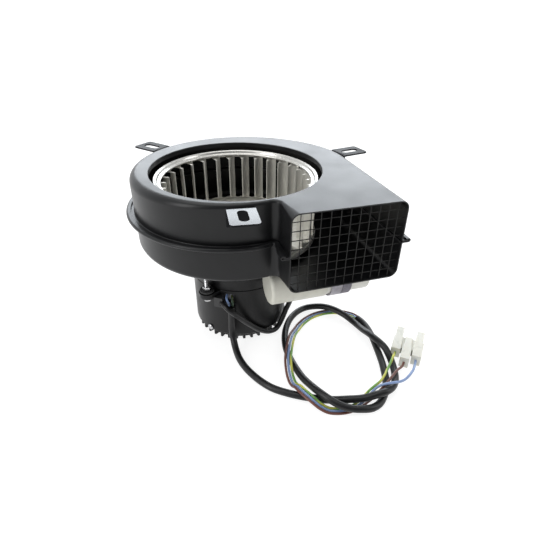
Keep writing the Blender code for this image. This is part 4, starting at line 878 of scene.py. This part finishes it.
def ear(name, degrees, paint):
    """Bent bracket with a rounded bend, rounded corners and a slot."""
    point, normal = wall_at(degrees)
    spot = point + GAP * normal
    top = HOUSING_TOP - EAR_DROP
    half = EAR_WIDTH / 2
    sheet = EAR_SHEET
    inner, outer = 0.4 * sheet, 1.4 * sheet
    profile = [(0.0, -EAR_LEG), (sheet, -EAR_LEG)]
    profile += [(sheet + inner * (1 - math.cos(a)), -sheet - inner * (1 - math.sin(a)))
                for a in (math.radians(22.5 * step) for step in range(5))]
    tip = len(profile)
    profile += [(EAR_LENGTH, -sheet), (EAR_LENGTH, 0.0)]
    profile += [(outer * (1 - math.sin(a)), -outer * (1 - math.cos(a)))
                for a in (math.radians(11.25 * step) for step in range(9))]
    bm = bmesh.new()
    near, far = [[bm.verts.new((x, y, z)) for x, z in profile] for y in (-half, half)]
    bm.faces.new(near)
    bm.faces.new(far[::-1])
    bridge(bm, far, near)
    corners = [bm.edges.get((side[tip], side[tip + 1])) for side in (near, far)]
    bmesh.ops.bevel(bm, geom=corners, offset=EAR_CORNER, segments=8, profile=0.5, affect="EDGES")
    turn = (0, 0, math.atan2(normal.y, normal.x))
    bracket = place(name + "_bracket", bm, paint, (spot.x, spot.y, top), turn)
    centre = spot + (EAR_LENGTH / 2) * normal
    slot = prism(stadium(EAR_SLOT_LENGTH, EAR_SLOT_WIDTH, 14), -2 * sheet, sheet)
    combine(bracket, place("slot", slot, None, (centre.x, centre.y, top), turn), "DIFFERENCE")
    return soften(bracket)


# ---- wheel -----------------------------------------------------------------------------------


def top_ring():
    """Rolled end ring: outer bead, a groove, a raised shoulder and a second groove inside."""
    top = WHEEL_TOP
    skin = WHEEL_SHEET
    middle = (WHEEL_RADIUS + RING_INNER_RADIUS) / 2
    bead = [(WHEEL_RADIUS - inwards, top - drop) for inwards, drop in RING_BEAD]
    outline = [(WHEEL_RADIUS - 0.0001, top - RING_SKIRT)] + bead + [
        (middle + 0.0006, top), (middle, top - 0.0005), (middle - skin, top - RING_STEP * 0.7),
        (middle - 0.0020, top - RING_STEP * 0.78), (RING_INNER_RADIUS + 0.0004, top - RING_STEP * 0.82),
        (RING_INNER_RADIUS, top - RING_STEP), (RING_INNER_RADIUS, top - RING_STEP - skin),
        (middle - skin * 0.2, top - RING_STEP * 0.7 - skin), (middle + skin, top - skin),
        (WHEEL_RADIUS - skin, top - skin * 1.6), (WHEEL_RADIUS - skin, top - RING_SKIRT)]
    return place("wheel_top_ring", lathe(outline, 0.0005, steps=INLET_STEPS), RING)


def blade_strip():
    """One lanced strip: whole along both edges, its blades bent inwards between rounded slots."""
    low = PLATE_TOP + GAP
    high = WHEEL_TOP - RING_STEP - WHEEL_SHEET - GAP
    radius = WHEEL_RADIUS - WHEEL_SHEET - GAP - BLADE_SHEET / 2
    pitch = 2 * math.pi / BLADE_COUNT
    columns = BLADE_COLUMNS + SLOT_COLUMNS
    bm = bmesh.new()

    def on_strip(angle, height):
        return Vector((radius * math.cos(angle), radius * math.sin(angle), height))

    def on_blade(turn, share, height):
        """share 0 is the blade's outer edge and 1 its inner, free one."""
        start = polar(radius, math.degrees(turn - BLADE_SWEEP))
        end = polar(BLADE_INNER_RADIUS, math.degrees(turn))
        chord = (start - end).to_2d()
        back = Vector((-chord.y, chord.x)).normalized()
        flat = start.lerp(end, share).to_2d() + back * BLADE_CAMBER * 4 * share * (1 - share)
        turned_out = min((height - low - BOTTOM_BAND) / BLADE_BLEND_BOTTOM,
                         (high - TOP_BAND - height) / BLADE_BLEND_TOP)
        t = max(0.0, min(1.0, turned_out))
        t = t * t * (3 - 2 * t)
        edge = on_strip(turn - BLADE_SWEEP + BLADE_ARC * share, height)
        return edge.lerp(Vector((flat.x, flat.y, height)), t)

    def column_angle(turn, column):
        start = turn - BLADE_SWEEP
        if column <= BLADE_COLUMNS:
            return start + BLADE_ARC * column / BLADE_COLUMNS
        return start + BLADE_ARC + (pitch - BLADE_ARC) * (column - BLADE_COLUMNS) / SLOT_COLUMNS

    def band_height(side, column):
        """Each band is lower between two blades, where the slot ends in a curve."""
        share = max(0, column - BLADE_COLUMNS) / SLOT_COLUMNS
        return (BOTTOM_BAND, TOP_BAND)[side] - SLOT_DIP * math.sin(math.pi * share)

    bands = {}
    for side in (0, 1):
        for count in range(BLADE_COUNT):
            for column in range(columns):
                angle = column_angle(pitch * count, column)
                for row in range(BAND_ROWS + 1):
                    rise = band_height(side, column) * row / BAND_ROWS
                    height = low + rise if side == 0 else high - rise
                    bands[side, count, column, row] = bm.verts.new(on_strip(angle, height))

    def band(side, count, column, row):
        return bands[side, (count + column // columns) % BLADE_COUNT, column % columns, row]

    for side in (0, 1):
        for count in range(BLADE_COUNT):
            for column in range(columns):
                for row in range(BAND_ROWS):
                    corners = [band(side, count, column, row), band(side, count, column + 1, row),
                               band(side, count, column + 1, row + 1), band(side, count, column, row + 1)]
                    bm.faces.new(corners if side == 0 else corners[::-1])
    for count in range(BLADE_COUNT):
        grid = [[band(0, count, column, BAND_ROWS) for column in range(BLADE_COLUMNS + 1)]]
        for row in range(1, BLADE_ROWS):
            share = row / BLADE_ROWS
            eased = 0.5 - 0.5 * math.cos(math.pi * share)
            height = low + BOTTOM_BAND + (high - low - BOTTOM_BAND - TOP_BAND) * (0.35 * share + 0.65 * eased)
            grid.append([bm.verts.new(on_blade(pitch * count, column / BLADE_COLUMNS, height))
                         for column in range(BLADE_COLUMNS + 1)])
        grid.append([band(1, count, column, BAND_ROWS) for column in range(BLADE_COLUMNS + 1)])
        for near, far in zip(grid, grid[1:]):
            for column in range(BLADE_COLUMNS):
                bm.faces.new((near[column], near[column + 1], far[column + 1], far[column]))
    strip = place("wheel_blade_strip", bm, WHEEL)
    modify(strip, "SOLIDIFY", thickness=BLADE_SHEET, offset=0)
    return smooth(strip, 50)


def back_plate():
    inside = WHEEL_RADIUS - WHEEL_SHEET
    low, high = WHEEL_TOP - WHEEL_HEIGHT, PLATE_TOP
    bore = HUB_RADIUS + 0.0002 + GAP
    outline = [(bore, high - WHEEL_SHEET), (inside, high - WHEEL_SHEET), (inside, low),
               (WHEEL_RADIUS, low), (WHEEL_RADIUS, high), (bore, high)]
    return place("wheel_back_plate", lathe(outline, 0.0006, steps=INLET_STEPS), WHEEL)


def hub_parts():
    low = PLATE_TOP + GAP
    bore = SHAFT_RADIUS + GAP
    across = (0, math.pi / 2, 0)
    outline = [(bore, low - HUB_SPIGOT), (HUB_RADIUS, low - HUB_SPIGOT), (HUB_RADIUS, low),
               (HUB_FLANGE_RADIUS, low), (HUB_FLANGE_RADIUS, low + HUB_FLANGE),
               (HUB_RADIUS, low + HUB_FLANGE), (HUB_RADIUS, low + HUB_HEIGHT), (bore, low + HUB_HEIGHT)]
    body = place("wheel_hub", lathe(outline, 0.0004, steps=96), HUB)
    height = low + HUB_FLANGE + (HUB_HEIGHT - HUB_FLANGE) / 2
    radius = HUB_SCREW_RADIUS + GAP
    drill = turned([(0, 0), (radius, 0), (radius, 2 * HUB_RADIUS), (0, 2 * HUB_RADIUS)], 32)
    combine(body, place("drill", drill, None, (0, 0, height), across), "DIFFERENCE")
    show(body, "rotor", "hub", "impeller_hub")
    length = HUB_RADIUS - SHAFT_RADIUS - 2 * GAP
    socket, floor = HUB_SCREW_RADIUS * 0.5, length - HUB_SCREW_SOCKET
    grub = [(0, 0), (HUB_SCREW_RADIUS, 0), (HUB_SCREW_RADIUS, length), (socket, length), (socket, floor),
            (0, floor)]
    screw = place("hub_set_screw", lathe(grub, 0.0002, False, 32), STEEL, (bore, 0, height), across)
    show(screw, "rotor", "steel", "hub_screw")
    low = PLATE_TOP - WHEEL_SHEET - GAP
    high = PLATE_TOP + GAP + HUB_FLANGE + GAP
    dome = [(share * RIVET_HEAD_RADIUS, rise * RIVET_HEAD) for share, rise in RIVET_DOME]
    outline = [(radius, low - rise) for radius, rise in dome] + [(RIVET_RADIUS, low), (RIVET_RADIUS, high)]
    outline += [(radius, high + rise) for radius, rise in dome[::-1]]
    for count in range(RIVET_COUNT):
        spot = polar(RIVET_CIRCLE, 45 + 360 * count / RIVET_COUNT)
        rivet = place(f"hub_rivet_dome_{count + 1}", lathe(outline, 0.0003, False, 32), HUB, spot)
        show(rivet, "rotor", "hub", f"hub_rivet_{count + 1}")


def shaft_parts():
    tip = HUB_TOP + SHAFT_END
    bottom = MOTOR_FLOOR + 2 * GAP
    outline = [(0, bottom), (SHAFT_RADIUS, bottom), (SHAFT_RADIUS, tip), (0, tip)]
    shaft = place("fan_shaft", lathe(outline, 0.0006, False, 64), STEEL)
    show(shaft, "rotor", "steel", "motor_shaft")
    low, high = HUB_TOP + GAP, HUB_TOP + GAP + CLIP_THICKNESS
    inside, outside = SHAFT_RADIUS + GAP, SHAFT_RADIUS + CLIP_WIDTH
    outline = [(inside, low), (outside, low), (outside, high), (inside, high)]
    clip = place("shaft_retaining_clip", lathe(outline, 0.0002, True, 64), STEEL)
    show(clip, "rotor", "steel", "shaft_clip")


# ---- motor -----------------------------------------------------------------------------------


def lug_outline(angle):
    """A lug in plan, from inside the motor's wall out round its bolt."""
    centre = polar(LUG_CIRCLE, angle)
    along = polar(1.0, angle)
    side = Vector((-along.y, along.x, 0))
    inside = MOTOR_RADIUS - MOTOR_WALL / 2
    outline = [along * inside + side * LUG_RADIUS * 1.25, along * inside - side * LUG_RADIUS * 1.25]
    for step in range(25):
        swing = math.radians(-90 + 180 * step / 24)
        outline.append(centre + LUG_RADIUS * (math.cos(swing) * along + math.sin(swing) * side))
    return [(point.x, point.y) for point in outline]


def upper_cover():
    wall = MOTOR_RADIUS - MOTOR_WALL
    top, ceiling = UPPER_COVER_TOP, UPPER_COVER_TOP - COVER_ROOF
    pocket = BEARING_RADIUS + GAP
    bore = SHAFT_RADIUS + SHAFT_CLEARANCE
    seat = UPPER_BOSS_TOP - BEARING_LIP
    outline = [(MOTOR_RADIUS, COVER_JOINT + GAP), (MOTOR_RADIUS, top - COVER_CHAMFER),
               (MOTOR_RADIUS - COVER_CHAMFER, top), (UPPER_BOSS_RADIUS, top),
               (UPPER_BOSS_RADIUS, UPPER_BOSS_TOP), (bore, UPPER_BOSS_TOP), (bore, seat), (pocket, seat),
               (pocket, ceiling), (wall - COVER_ROOF, ceiling), (wall, ceiling - COVER_ROOF),
               (wall, COVER_JOINT + GAP)]
    cover = place("motor_cover_top", lathe(outline, COVER_EDGE), MOTOR_PAINT)
    show(cover, "root", "housing", "motor_upper_cover")


def lower_cover():
    wall = MOTOR_RADIUS - MOTOR_WALL
    pocket = BEARING_RADIUS + GAP
    seat = MOTOR_FLOOR + BEARING_WIDTH + BEARING_LIP
    outline = [(0, 0), (FIN_ROOT_RADIUS, 0), (FIN_ROOT_RADIUS, FIN_HEIGHT), (FIN_TIP_RADIUS, FIN_HEIGHT),
               (MOTOR_RADIUS, FIN_HEIGHT + FOOT_CHAMFER), (MOTOR_RADIUS, COVER_JOINT), (wall, COVER_JOINT),
               (wall, FIN_HEIGHT + 0.0045), (FIN_ROOT_RADIUS - 0.0025, FIN_HEIGHT + 0.0027),
               (FIN_ROOT_RADIUS - 0.0045, MOTOR_FLOOR), (pocket + BEARING_WALL, MOTOR_FLOOR),
               (pocket + BEARING_WALL, seat), (pocket, seat), (pocket, MOTOR_FLOOR), (0, MOTOR_FLOOR)]
    cover = place("motor_cover_bottom", lathe(outline, COVER_EDGE, False), MOTOR_PAINT)
    fins = bmesh.new()
    for count in range(FIN_COUNT):
        along = polar(1.0, 360 * count / FIN_COUNT)
        side = Vector((-along.y, along.x, 0)) * FIN_THICKNESS / 2
        near, far = along * (FIN_ROOT_RADIUS - FIN_OVERLAP), along * FIN_TIP_RADIUS
        tip = far - along * FIN_TAPER
        corners = [near - side, tip - side * 0.75, far - side * 0.5, far + side * 0.5, tip + side * 0.75,
                   near + side]
        prism([(point.x, point.y) for point in corners], FIN_LIFT, FIN_HEIGHT + FIN_LIFT, fins)
    combine(cover, place("fins", fins), "UNION")
    lugs = bmesh.new()
    holes = bmesh.new()
    for angle in LUG_ANGLES:
        hole = circle(polar(LUG_CIRCLE, angle), GROMMET_NECK + GAP)
        prism(lug_outline(angle), COVER_JOINT - LUG_THICKNESS, COVER_JOINT - 0.0002, lugs)
        prism(hole, COVER_JOINT - 2 * LUG_THICKNESS, COVER_JOINT + LUG_THICKNESS, holes)
    combine(cover, place("lugs", lugs), "UNION")
    combine(cover, place("holes", holes), "DIFFERENCE")
    entry = box((MOTOR_RADIUS - 0.008, -ENTRY_WIDTH / 2, ENTRY_BOTTOM),
                (MOTOR_RADIUS + 0.004, ENTRY_WIDTH / 2, ENTRY_TOP))
    combine(cover, place("entry", entry, rotation=(0, 0, math.radians(ENTRY_ANGLE))), "DIFFERENCE")
    soften(cover, 0.00018, 1, 45)
    show(cover, "root", "housing", "motor_lower_cover")


def screw_head(name, radius, height, location, rotation):
    """Pan head with a cross recess, along its own +Z from 0."""
    outline = [(0, 0), (radius, 0), (radius, height * 0.45), (radius * 0.62, height), (0, height)]
    head = place(name, lathe(outline, radius * 0.12, False, 48), STEEL)
    cross = bmesh.new()
    for x, y in ((0.62, 0.11), (0.11, 0.62)):
        box((-radius * x, -radius * y, height * 0.45), (radius * x, radius * y, height * 2), cross)
    combine(head, place("cross", cross), "DIFFERENCE")
    head.location = location
    head.rotation_euler = rotation
    return head


def rim_screws():
    for count, degrees in enumerate(RIM_SCREW_ANGLES, 1):
        screw = screw_head(f"rim_screw_head_{count}", RIM_SCREW_HEAD, RIM_SCREW_HEAD_HEIGHT,
                           polar(MOTOR_RADIUS + GAP, degrees, RIM_SCREW_HEIGHT),
                           (0, math.pi / 2, math.radians(degrees)))
        show(screw, "root", "steel", f"rim_screw_{count}")


def hexagon(name, low, bore, sharp_top):
    """Six-sided head or nut with turned corners, left sharp on top if asked, and bored if asked."""
    high = low + HEX_HEIGHT
    hexed = [(HEX_RADIUS * math.cos(math.radians(60 * step)), HEX_RADIUS * math.sin(math.radians(60 * step)))
             for step in range(6)]
    block = place(name, prism(hexed, low, high), STEEL)
    wide, tight = HEX_RADIUS * 1.05, HEX_RADIUS * 0.9
    cone = [(0, low - 0.001), (tight, low - 0.0001), (wide, low + HEX_CHAMFER), (wide, high - HEX_CHAMFER),
            (wide if sharp_top else tight, high + 0.0001), (0, high + 0.001)]
    combine(block, place("turned", turned(cone, 48)), "INTERSECT")
    if bore:
        hole = [(0, low - 0.002), (bore, low - 0.002), (bore, high + 0.002), (0, high + 0.002)]
        combine(block, place("bore", turned(hole, 32)), "DIFFERENCE")
    return block


def bolt_thread(low, high):
    outline = [(0, low)]
    height = low
    while height < high - THREAD_PITCH:
        outline += [(BOLT_RADIUS, height), (BOLT_RADIUS - THREAD_DEPTH, height + THREAD_PITCH / 2)]
        height += THREAD_PITCH
    return turned(outline + [(BOLT_RADIUS, high), (0, high)], 24)


def suspension():
    top, bottom = COVER_JOINT + GAP, COVER_JOINT - LUG_THICKNESS - GAP
    bore = BOLT_RADIUS + GAP
    spool = [(bore, bottom - GROMMET_FLANGE), (GROMMET_RADIUS, bottom - GROMMET_FLANGE),
             (GROMMET_RADIUS, bottom), (GROMMET_NECK, bottom), (GROMMET_NECK, top), (GROMMET_RADIUS, top),
             (GROMMET_RADIUS, top + GROMMET_FLANGE), (bore, top + GROMMET_FLANGE)]
    head_top = bottom - GROMMET_FLANGE - GAP
    for count, angle in enumerate(LUG_ANGLES, 1):
        spot = polar(LUG_CIRCLE, angle)
        grommet = place(f"lug_grommet_{count}", lathe(spool, 0.0005, True, 64), RUBBER, spot)
        show(grommet, "root", "rubber", f"grommet_{count}")
        bolt = hexagon(f"hanging_bolt_{count}", head_top - HEX_HEIGHT, 0, True)
        thread = bolt_thread(head_top - HEX_HEIGHT / 2, HOUSING_FLOOR - GAP)
        combine(bolt, place("thread", thread), "UNION")
        nut = hexagon(f"hanging_nut_{count}", top + GROMMET_FLANGE + GAP, bore, False)
        bolt.location = nut.location = spot
        show(bolt, "root", "steel", f"mount_bolt_{count}")
        show(nut, "root", "steel", f"mount_nut_{count}")


def cable_saddle():
    inside = MOTOR_RADIUS + GAP
    from_lug = LUG_CIRCLE * math.sin(math.radians(SADDLE_ANGLE - LUG_ANGLES[0]))
    left = GROMMET_RADIUS + SADDLE_LUG_CLEARANCE - from_lug
    block = box((inside, left, SADDLE_BOTTOM), (inside + SADDLE_REACH, SADDLE_RIGHT, SADDLE_TOP))
    saddle = place("lead_saddle", block, BLACK_PLASTIC, rotation=(0, 0, math.radians(SADDLE_ANGLE)))
    start, onward = Vector(LEAD_ROUTE[0]) / 1000, Vector(LEAD_ROUTE[1]) / 1000
    along = (onward - start).normalized()
    radius = LEAD_RADIUS + 2 * GAP
    bore = turned([(0, 0), (radius, 0), (radius, SADDLE_BORE), (0, SADDLE_BORE)], 48)
    aim = along.to_track_quat("Z", "Y").to_euler()
    combine(saddle, place("bore", bore, None, start - GAP * along, aim), "DIFFERENCE")
    soften(saddle, 0.0006, 3, 40)
    show(saddle, "root", "black_plastic", "cable_saddle")


# ---- capacitor -------------------------------------------------------------------------------


def capacitor():
    axis = (CAPACITOR_Y, CAPACITOR_Z)
    lie = (0, math.pi / 2, 0)
    length = CAN_RIGHT - CAN_LEFT
    can = [(0, 0), (CAN_RADIUS, 0), (CAN_RADIUS, length), (CAN_RADIUS - CAN_RIM, length),
           (CAN_RADIUS - CAN_RIM_FOOT, length - CAN_RECESS), (0, length - CAN_RECESS)]
    body = place("capacitor_can_body", lathe(can, 0.0009, False), CAN, (CAN_LEFT, *axis), lie)
    show(body, "root", "capacitor_case", "capacitor_can")
    length = BOOT_RIGHT - BOOT_LEFT
    inner = BOOT_RADIUS - BOOT_WALL
    floor = CAN_LEFT - BOOT_LEFT - GAP
    corner = arc((BOOT_RADIUS - BOOT_CORNER, BOOT_CORNER), BOOT_CORNER, 270, 360, 8)
    boot = [(0, 0)] + corner + [(BOOT_RADIUS, length), (inner, length), (inner, floor), (0, floor)]
    shell = place("capacitor_boot_body", lathe(boot, 0.0003, False), CREAM, (BOOT_LEFT, *axis), lie)
    start, reach = BOOT_RADIUS - BOOT_WALL / 2, BOOT_RADIUS + NOZZLE_LENGTH
    nozzle = [(0, start), (NOZZLE_RADIUS, start), (NOZZLE_RADIUS, reach), (0, reach)]
    nozzle = lathe(nozzle, 0.0005, False, 64)
    tilt = (math.pi + NOZZLE_ANGLE, 0, 0)
    combine(shell, place("nozzle", nozzle, None, (NOZZLE_X, *axis), tilt), "UNION")
    show(shell, "root", "capacitor_case", "capacitor_boot")
    inside = CAN_RADIUS + GAP
    outside = inside + COLLAR_THICKNESS
    for name, low, high, finish, slot, node in (
            ("capacitor_strap", BAND_LEFT, BAND_RIGHT, ZINC, "zinc", "capacitor_band"),
            ("capacitor_sleeve", BAND_RIGHT + GAP, PAD_RIGHT, PAD, "rubber", "capacitor_pad")):
        collar = [(inside, 0), (outside, 0), (outside, high - low), (inside, high - low)]
        piece = place(name, lathe(collar, 0.0004), finish, (low, *axis), lie)
        show(piece, "root", slot, node)
    top = HOUSING_FLOOR - GAP
    bottom = top - BRACKET_SHEET
    plate = box((BAND_LEFT, CAPACITOR_Y - BRACKET_HALF, bottom),
                (BAND_RIGHT, CAPACITOR_Y + BRACKET_HALF, top))
    bracket = soften(place("capacitor_hanger", plate, ZINC), 0.0004, 3)
    show(bracket, "root", "zinc", "capacitor_bracket")
    middle = (BAND_LEFT + BAND_RIGHT) / 2
    for count, side in enumerate((-1, 1), 1):
        spot = (middle, CAPACITOR_Y + side * BRACKET_SCREW_OFFSET, bottom - GAP)
        head = screw_head(f"hanger_screw_{count}", BRACKET_SCREW_HEAD, BRACKET_SCREW_HEAD_HEIGHT, spot,
                          (math.pi, 0, 0))
        show(head, "root", "steel", f"bracket_screw_{count}")


# ---- cable, wires and connector --------------------------------------------------------------


def wire_route(name):
    """The bundle's route shifted to this wire's place in it, then the wire's own tail."""
    points = [Vector(point) for point in BUNDLE_ROUTE]
    shift = WIRE_SLOTS[name] * WIRE_PITCH * 1000
    route = []
    for count, point in enumerate(points):
        before, after = points[max(count - 1, 0)], points[min(count + 1, len(points) - 1)]
        ahead = (after - before).to_2d().normalized()
        route.append(point + shift * Vector((-ahead.y, ahead.x, 0)))
    return route + [Vector(point) for point in WIRE_TAILS[name]]


def connector():
    """Three poles on one web, each with a narrower far half, a shoulder and a cavity for its pin."""
    spot = (*CONNECTOR_PLACE, 0)
    turn = (0, 0, CONNECTOR_TURN)
    half, slim, hollow = POLE_WIDTH / 2, POLE_WIDTH / 2 * SLIM_SHARE, CAVITY_WIDTH / 2
    middle = CONNECTOR_HEIGHT / 2
    sides = (1, 0, -1)
    housing = None
    cavities = bmesh.new()
    for side, (low, high) in zip(sides, POLE_SPANS):
        centre = side * POLE_PITCH
        shoulder = low + (high - low) * SHOULDER_SHARE
        near = box((low, centre - half, 0), (shoulder, centre + half, CONNECTOR_HEIGHT))
        far = box((shoulder - 0.001, centre - slim, SLIM_STEP),
                  (high, centre + slim, CONNECTOR_HEIGHT - SLIM_STEP))
        pole = place("pole" if housing else "connector_body", near, NYLON, spot, turn)
        combine(pole, place("far", far, None, spot, turn), "UNION")
        if housing:
            combine(housing, pole, "UNION")
        else:
            housing = pole
        box((CAVITY_FLOOR, centre - hollow, middle - hollow),
            (high + 0.004, centre + hollow, middle + hollow), cavities)
    web = box((WEB_SPAN[0], -POLE_PITCH, WEB_BOTTOM), (WEB_SPAN[1], POLE_PITCH, WEB_TOP))
    combine(housing, place("web", web, None, spot, turn), "UNION")
    combine(housing, place("cavities", cavities, None, spot, turn), "DIFFERENCE")
    soften(housing, 0.0004, 2, 40)
    pieces = [show(housing, "root", "nylon", "connector_housing")]
    length = TERMINAL_SPAN[1] - TERMINAL_SPAN[0]
    pin = [(0, 0), (TERMINAL_RADIUS, 0), (TERMINAL_RADIUS, length - 0.0008),
           (TERMINAL_RADIUS * 0.5, length), (0, length)]
    for count, side in enumerate(sides, 1):
        local = Vector((TERMINAL_SPAN[0], side * POLE_PITCH, middle))
        base = Matrix.Rotation(CONNECTOR_TURN, 3, "Z") @ local + Vector(spot)
        terminal = place(f"connector_pin_{count}", lathe(pin, 0.0002, False, 32), BRASS,
                         base, (0, math.pi / 2, CONNECTOR_TURN))
        pieces.append(show(terminal, "root", "terminal", f"terminal_{count}"))
    return pieces


def cables(body, pins):
    line = smooth_line(CABLE_ROUTE, 0.0025)
    cable = sweep_tube("mains_cable", line, CABLE_RADIUS, SHEATH, CABLE_SIDES, CABLE_CAP)
    show(cable, "root", "cable_sheath", "supply_cable")
    line = smooth_line(LEAD_ROUTE, 0.0020)
    lead = sweep_tube("capacitor_lead_sheath", line, LEAD_RADIUS, SHEATH, CABLE_SIDES, CABLE_CAP)
    show(lead, "root", "cable_sheath", "capacitor_lead")
    for name, node, finish, slot, length, on_it in (
            ("brown_wire", "wire_brown", BROWN_WIRE, "wire_brown", 0.322, (body, pins[1])),
            ("blue_wire", "wire_blue", BLUE_WIRE, "wire_blue", 0.328, (pins[2],)),
            ("green_yellow_wire", "wire_green_yellow", GREEN_WIRE, "wire_green", 0.303, (pins[0],))):
        line = smooth_line(wire_route(node), 0.0018)
        wire = sweep_tube(name, line, WIRE_RADIUS, finish, WIRE_SIDES, WIRE_CAP)
        show(wire, "root", slot, node)
    for name, finish, slot in (("motor_lead_blue", BLUE_WIRE, "wire_blue"),
                               ("motor_lead_green", GREEN_WIRE_PAINTED_SHADE, "wire_green")):
        line = smooth_line(MOTOR_LEADS[name], 0.0008)
        piece = sweep_tube(name + "_wire", line, WIRE_RADIUS, finish, WIRE_SIDES, WIRE_CAP)
        show(piece, "root", slot, name)


# ---- stage -----------------------------------------------------------------------------------


def camera():
    data = bpy.data.cameras.new("camera")
    data.lens = CAMERA_LENS
    data.sensor_width = 36
    data.clip_start = 0.01
    data.clip_end = 50
    view = bpy.data.objects.new("camera", data)
    bpy.context.collection.objects.link(view)
    a, e, roll = CAMERA_AZIMUTH, CAMERA_ELEVATION, CAMERA_ROLL
    right = Vector((math.cos(a), math.sin(a), 0))
    back = Vector((math.sin(a) * math.cos(e), -math.cos(a) * math.cos(e), math.sin(e)))
    up = back.cross(right)
    right, up = math.cos(roll) * right + math.sin(roll) * up, math.cos(roll) * up - math.sin(roll) * right
    view.matrix_world = Matrix.Translation(CAMERA_PLACE) @ Matrix((right, up, back)).transposed().to_4x4()
    bpy.context.scene.camera = view


def lamp(name, spot, aim, width, height, power, colour=(1, 1, 1)):
    data = bpy.data.lights.new(name, "AREA")
    data.shape = "RECTANGLE"
    data.size, data.size_y = width, height
    data.energy = power
    data.color = colour
    light = bpy.data.objects.new(name, data)
    bpy.context.collection.objects.link(light)
    light.location = spot
    light.rotation_euler = (Vector(aim) - Vector(spot)).to_track_quat("-Z", "Y").to_euler()


def ground():
    """A pale floor that glows a little, so that it stays near white under the soft light."""
    floor = surface("pale_floor", (0.30, 0.30, 0.30), 0.9, specular=0.1, grain=3, spread=0.004, relief=0.0)
    floor.inputs["Emission Color"].default_value = (1, 1, 1, 1)
    floor.inputs["Emission Strength"].default_value = 0.84
    bm = bmesh.new()
    bmesh.ops.create_grid(bm, x_segments=1, y_segments=1, size=12)
    place("floor", bm, floor, (0, 0, -0.0002))


def sky():
    """Light that grows towards the back, and a plain white backdrop where the camera sees past the floor."""
    world = bpy.data.worlds.new("studio")
    bpy.context.scene.world = world
    world.use_nodes = True
    tree = world.node_tree
    direction = tree.nodes.new("ShaderNodeTexCoord").outputs["Generated"]
    split = add_node(tree, "ShaderNodeSeparateXYZ", {"Vector": direction})
    fade = add_node(tree, "ShaderNodeMapRange", {
        "From Min": -0.6, "From Max": 0.8, "To Min": 0.22, "To Max": 1.30, "Value": split.outputs["Y"]})
    light = add_node(tree, "ShaderNodeBackground", {
        "Color": (0.96, 0.98, 1.0, 1), "Strength": fade.outputs["Result"]})
    backdrop = add_node(tree, "ShaderNodeBackground", {"Color": (1, 1, 1, 1), "Strength": 1.1})
    seen = tree.nodes.new("ShaderNodeLightPath").outputs["Is Camera Ray"]
    choose = add_node(tree, "ShaderNodeMixShader", {
        "Fac": seen, 1: light.outputs["Background"], 2: backdrop.outputs["Background"]})
    tree.links.new(choose.outputs["Shader"], tree.nodes["World Output"].inputs["Surface"])


# ---- the whole blower ------------------------------------------------------------------------

camera()
connector_body, *connector_pins = connector()
cables(connector_body, connector_pins)
show(upper_shell(), "root", "housing", "scroll_upper_shell")
show(lower_shell(), "root", "housing", "scroll_lower_shell")
show(outlet_grille(), "root", "mesh", "outlet_grille")
for ear_name, ear_angle in EAR_ANGLES.items():
    # The front ear takes the copy with painted sheen, the other two the duller copy with painted shade.
    ear_paint = FRONT_EAR_PAINTED_SHEEN if ear_name == "ear_front" else EAR_PAINTED_SHADE
    show(ear(ear_name, ear_angle, ear_paint), "root", "housing", ear_name)
show(top_ring(), "rotor", "wheel", "impeller_top_ring")
show(blade_strip(), "rotor", "wheel", "impeller_blade_strip")
show(back_plate(), "rotor", "wheel", "impeller_backplate")
hub_parts()
shaft_parts()
upper_cover()
lower_cover()
rim_screws()
suspension()
cable_saddle()
capacitor()
for node, finish in (("upper_bearing", STEEL), ("lower_bearing", STEEL), ("stator_core", LAMINATION),
                     ("rotor_core", LAMINATION), ("upper_winding", WINDING), ("lower_winding", WINDING)):
    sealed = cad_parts[node].data
    sealed.materials.clear()
    sealed.materials.append(finish.material)
ground()
sky()
lamp("back_softbox", (0.5, 1.5, 0.76), (0, 0, 0.15), 2.0, 0.5, 17, (0.88, 0.94, 1.0))
lamp("top_softbox", (-0.1, 0.1, 1.5), (0, 0, 0.1), 1.2, 1.2, 9)
lamp("left_softbox", (-1.2, -0.5, 0.7), (0, 0, 0.1), 0.5, 1.0, 8)
lamp("right_softbox", (1.3, -0.6, 0.8), (0, 0, 0.1), 0.4, 1.0, 5)
bpy.context.scene.view_settings.view_transform = "Standard"
